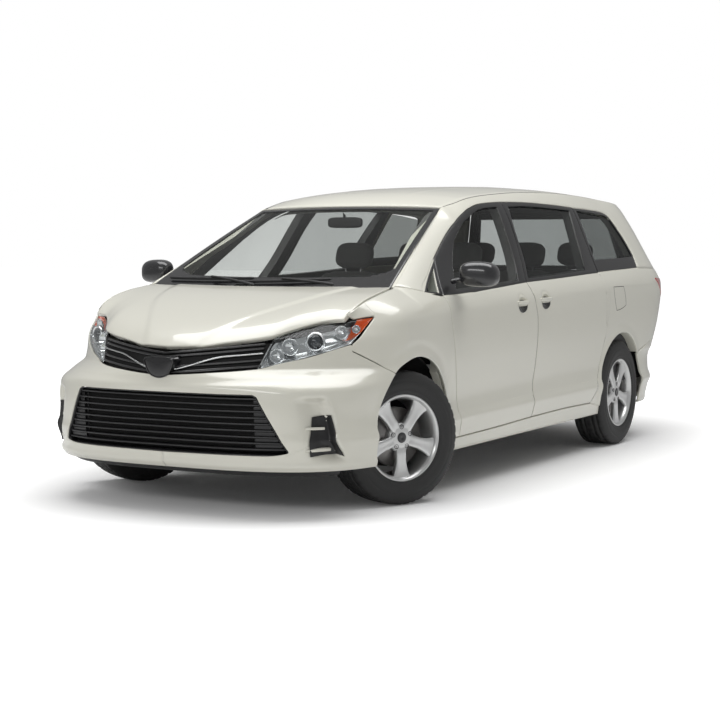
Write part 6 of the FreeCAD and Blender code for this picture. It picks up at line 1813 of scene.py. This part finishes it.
screen_back = np.stack([912 + 0 * screen_y, screen_y, screen_z], -1)
fit("centre_screen", outward(shell(screen_face, screen_back)), projector_glass, "body", "cabin_plastic")
liner_plan = roof_plan(-2090, 540, 0.93, 44, 36)
liner_depth = 52 + 26 * np.clip((np.abs(liner_plan[..., 1]) - 0.75) / 0.2, 0, 1) ** 2
headliner = outward(slab(roof_surface, liner_plan, liner_depth, liner_depth + 4, ROOF_STEP))
fit("headliner", headliner, headliner_cloth, "body", "cabin_plastic")

# Moulded trim over the rear wheel houses and along the load space, clipped to the body sides
HOUSE_RADIUS = 405
HOUSE_Z = WHEEL_RADIUS + ARCH_RISE
HOUSE_Y = 698
TRIM_FOOT, TRIM_HEAD = 425, 1150
TRIM_BACK_X, TRIM_FRONT_X = -2090, -1225
house_angle = np.radians(np.linspace(10, 170, 40))[:, None]
house_share = np.linspace(0, 1, 7)[None, :]
house_x = REAR_AXLE_X + HOUSE_RADIUS * np.cos(house_angle) + 0 * house_share
house_z = TRIM_FOOT + house_share * (HOUSE_Z + HOUSE_RADIUS * np.sin(house_angle) - TRIM_FOOT)
wall = np.stack([house_x, HOUSE_Y + 0 * house_x, house_z], -1)
house_wall = outward(shell(wall, wall + [0, 6, 0]))
trim_foot, trim_head = ([(TRIM_BACK_X, z), (TRIM_FRONT_X, z)] for z in (TRIM_FOOT, TRIM_HEAD))
side_trim = outward(slab(side_surface, patch(trim_foot, trim_head, (36, 18)), 52.0, 56.0))
load_trim = join([both_sides(house_wall), both_sides(side_trim)])
fit("load_space_trim", load_trim, grained, "body", "cabin_plastic")
stalk = outward(tube([(640, 0, 1510), (650, 0, 1540), (668, 0, 1562)], [1, 9, 1], 12))
inner_mirror = join([pad((640, 0, 1500), (16, 118, 34), 0.5), stalk])
fit("cabin_mirror", inner_mirror, satin_black, "body", "cabin_plastic")

# Carried-over nodes
# The body's pressings are painted outside and trimmed inside, so their finish changes with place: paint up
# to the belt, black round the windows, and grey trim facing the cabin. Chassis parts have their plain metals.
WINDOW_BLACK = (0.02, 0.02, 0.02, 1)
TRIM_GREY = (0.09, 0.09, 0.088, 1)


def body_finish(name, inner_y, belt):
    """Paint outside and below a height, black above it, and trim nearer the centre line than a distance."""
    material, tree = new_material(name)
    place = add_node(tree, "TexCoord")
    split = add_node(tree, "SeparateXYZ", {"Vector": place.outputs["Object"]})
    across = add_node(tree, "Math", {0: split.outputs["Y"]}, operation="ABSOLUTE")
    inside = add_node(tree, "Math", {0: across.outputs["Value"], 1: inner_y}, operation="LESS_THAN")
    above = add_node(tree, "Math", {0: split.outputs["Z"], 1: belt}, operation="GREATER_THAN")
    noise = add_node(tree, "TexNoise", {"Scale": 900, "Vector": place.outputs["Object"]})
    colours = add_node(
        tree, "Mix", {"A": PAINT_CREAM, "B": WINDOW_BLACK, "Factor": above.outputs["Value"]}, data_type="RGBA"
    )
    trimmed = add_node(tree, "Mix", {
        "A": colours.outputs["Result"], "B": TRIM_GREY, "Factor": inside.outputs["Value"],
    }, data_type="RGBA")
    rough = add_node(tree, "MapRange", {"Value": noise.outputs["Fac"], "To Min": 0.35, "To Max": 0.5})
    shade = add_node(tree, "BsdfPrincipled", {
        "Base Color": trimmed.outputs["Result"], "Roughness": rough.outputs["Result"],
    })
    add_node(tree, "OutputMaterial", {"Surface": shade.outputs["BSDF"]})
    return material


door_shell = body_finish("door_shell_finish", 0.905, 1.1)
side_shell = body_finish("body_side_finish", 0.6, 1.72)
steel = plain_material("primed_steel", (0.03, 0.03, 0.031), 0.6, grain=0.3, grain_scale=500)
iron = plain_material("coated_iron", (0.05, 0.048, 0.045), 0.7, metallic=0.3, grain=0.5, grain_scale=700)
cast_alloy = plain_material(
    "cast_engine_alloy", (0.3, 0.3, 0.31), 0.5, metallic=0.8, grain=0.5, grain_scale=400,
)
dulled_steel = plain_material(
    "heat_dulled_steel", (0.34, 0.31, 0.27), 0.4, metallic=0.9, grain=0.2, grain_scale=250,
)
wheel_leather = plain_material("steering_wheel_grain", (0.03, 0.03, 0.03), 0.5, grain=0.4, grain_scale=1200)
carried = {
    door_shell: ("front_door_left", "front_door_right", "sliding_door_left", "sliding_door_right"),
    side_shell: ("body_side_left", "body_side_right"),
    paint: ("roof_panel",),
    steel: ("floor_pan", "front_structure", "fuel_tank"),
    iron: ("front_subframe", "front_struts", "knuckle_left", "knuckle_right", "rear_axle"),
    cast_alloy: ("engine_block",),
    dulled_steel: ("exhaust",),
    wheel_leather: ("steering_wheel",),
}
for material, names in carried.items():
    for name in names:
        for material_slot in frame["nodes"][name].material_slots:
            material_slot.material = material
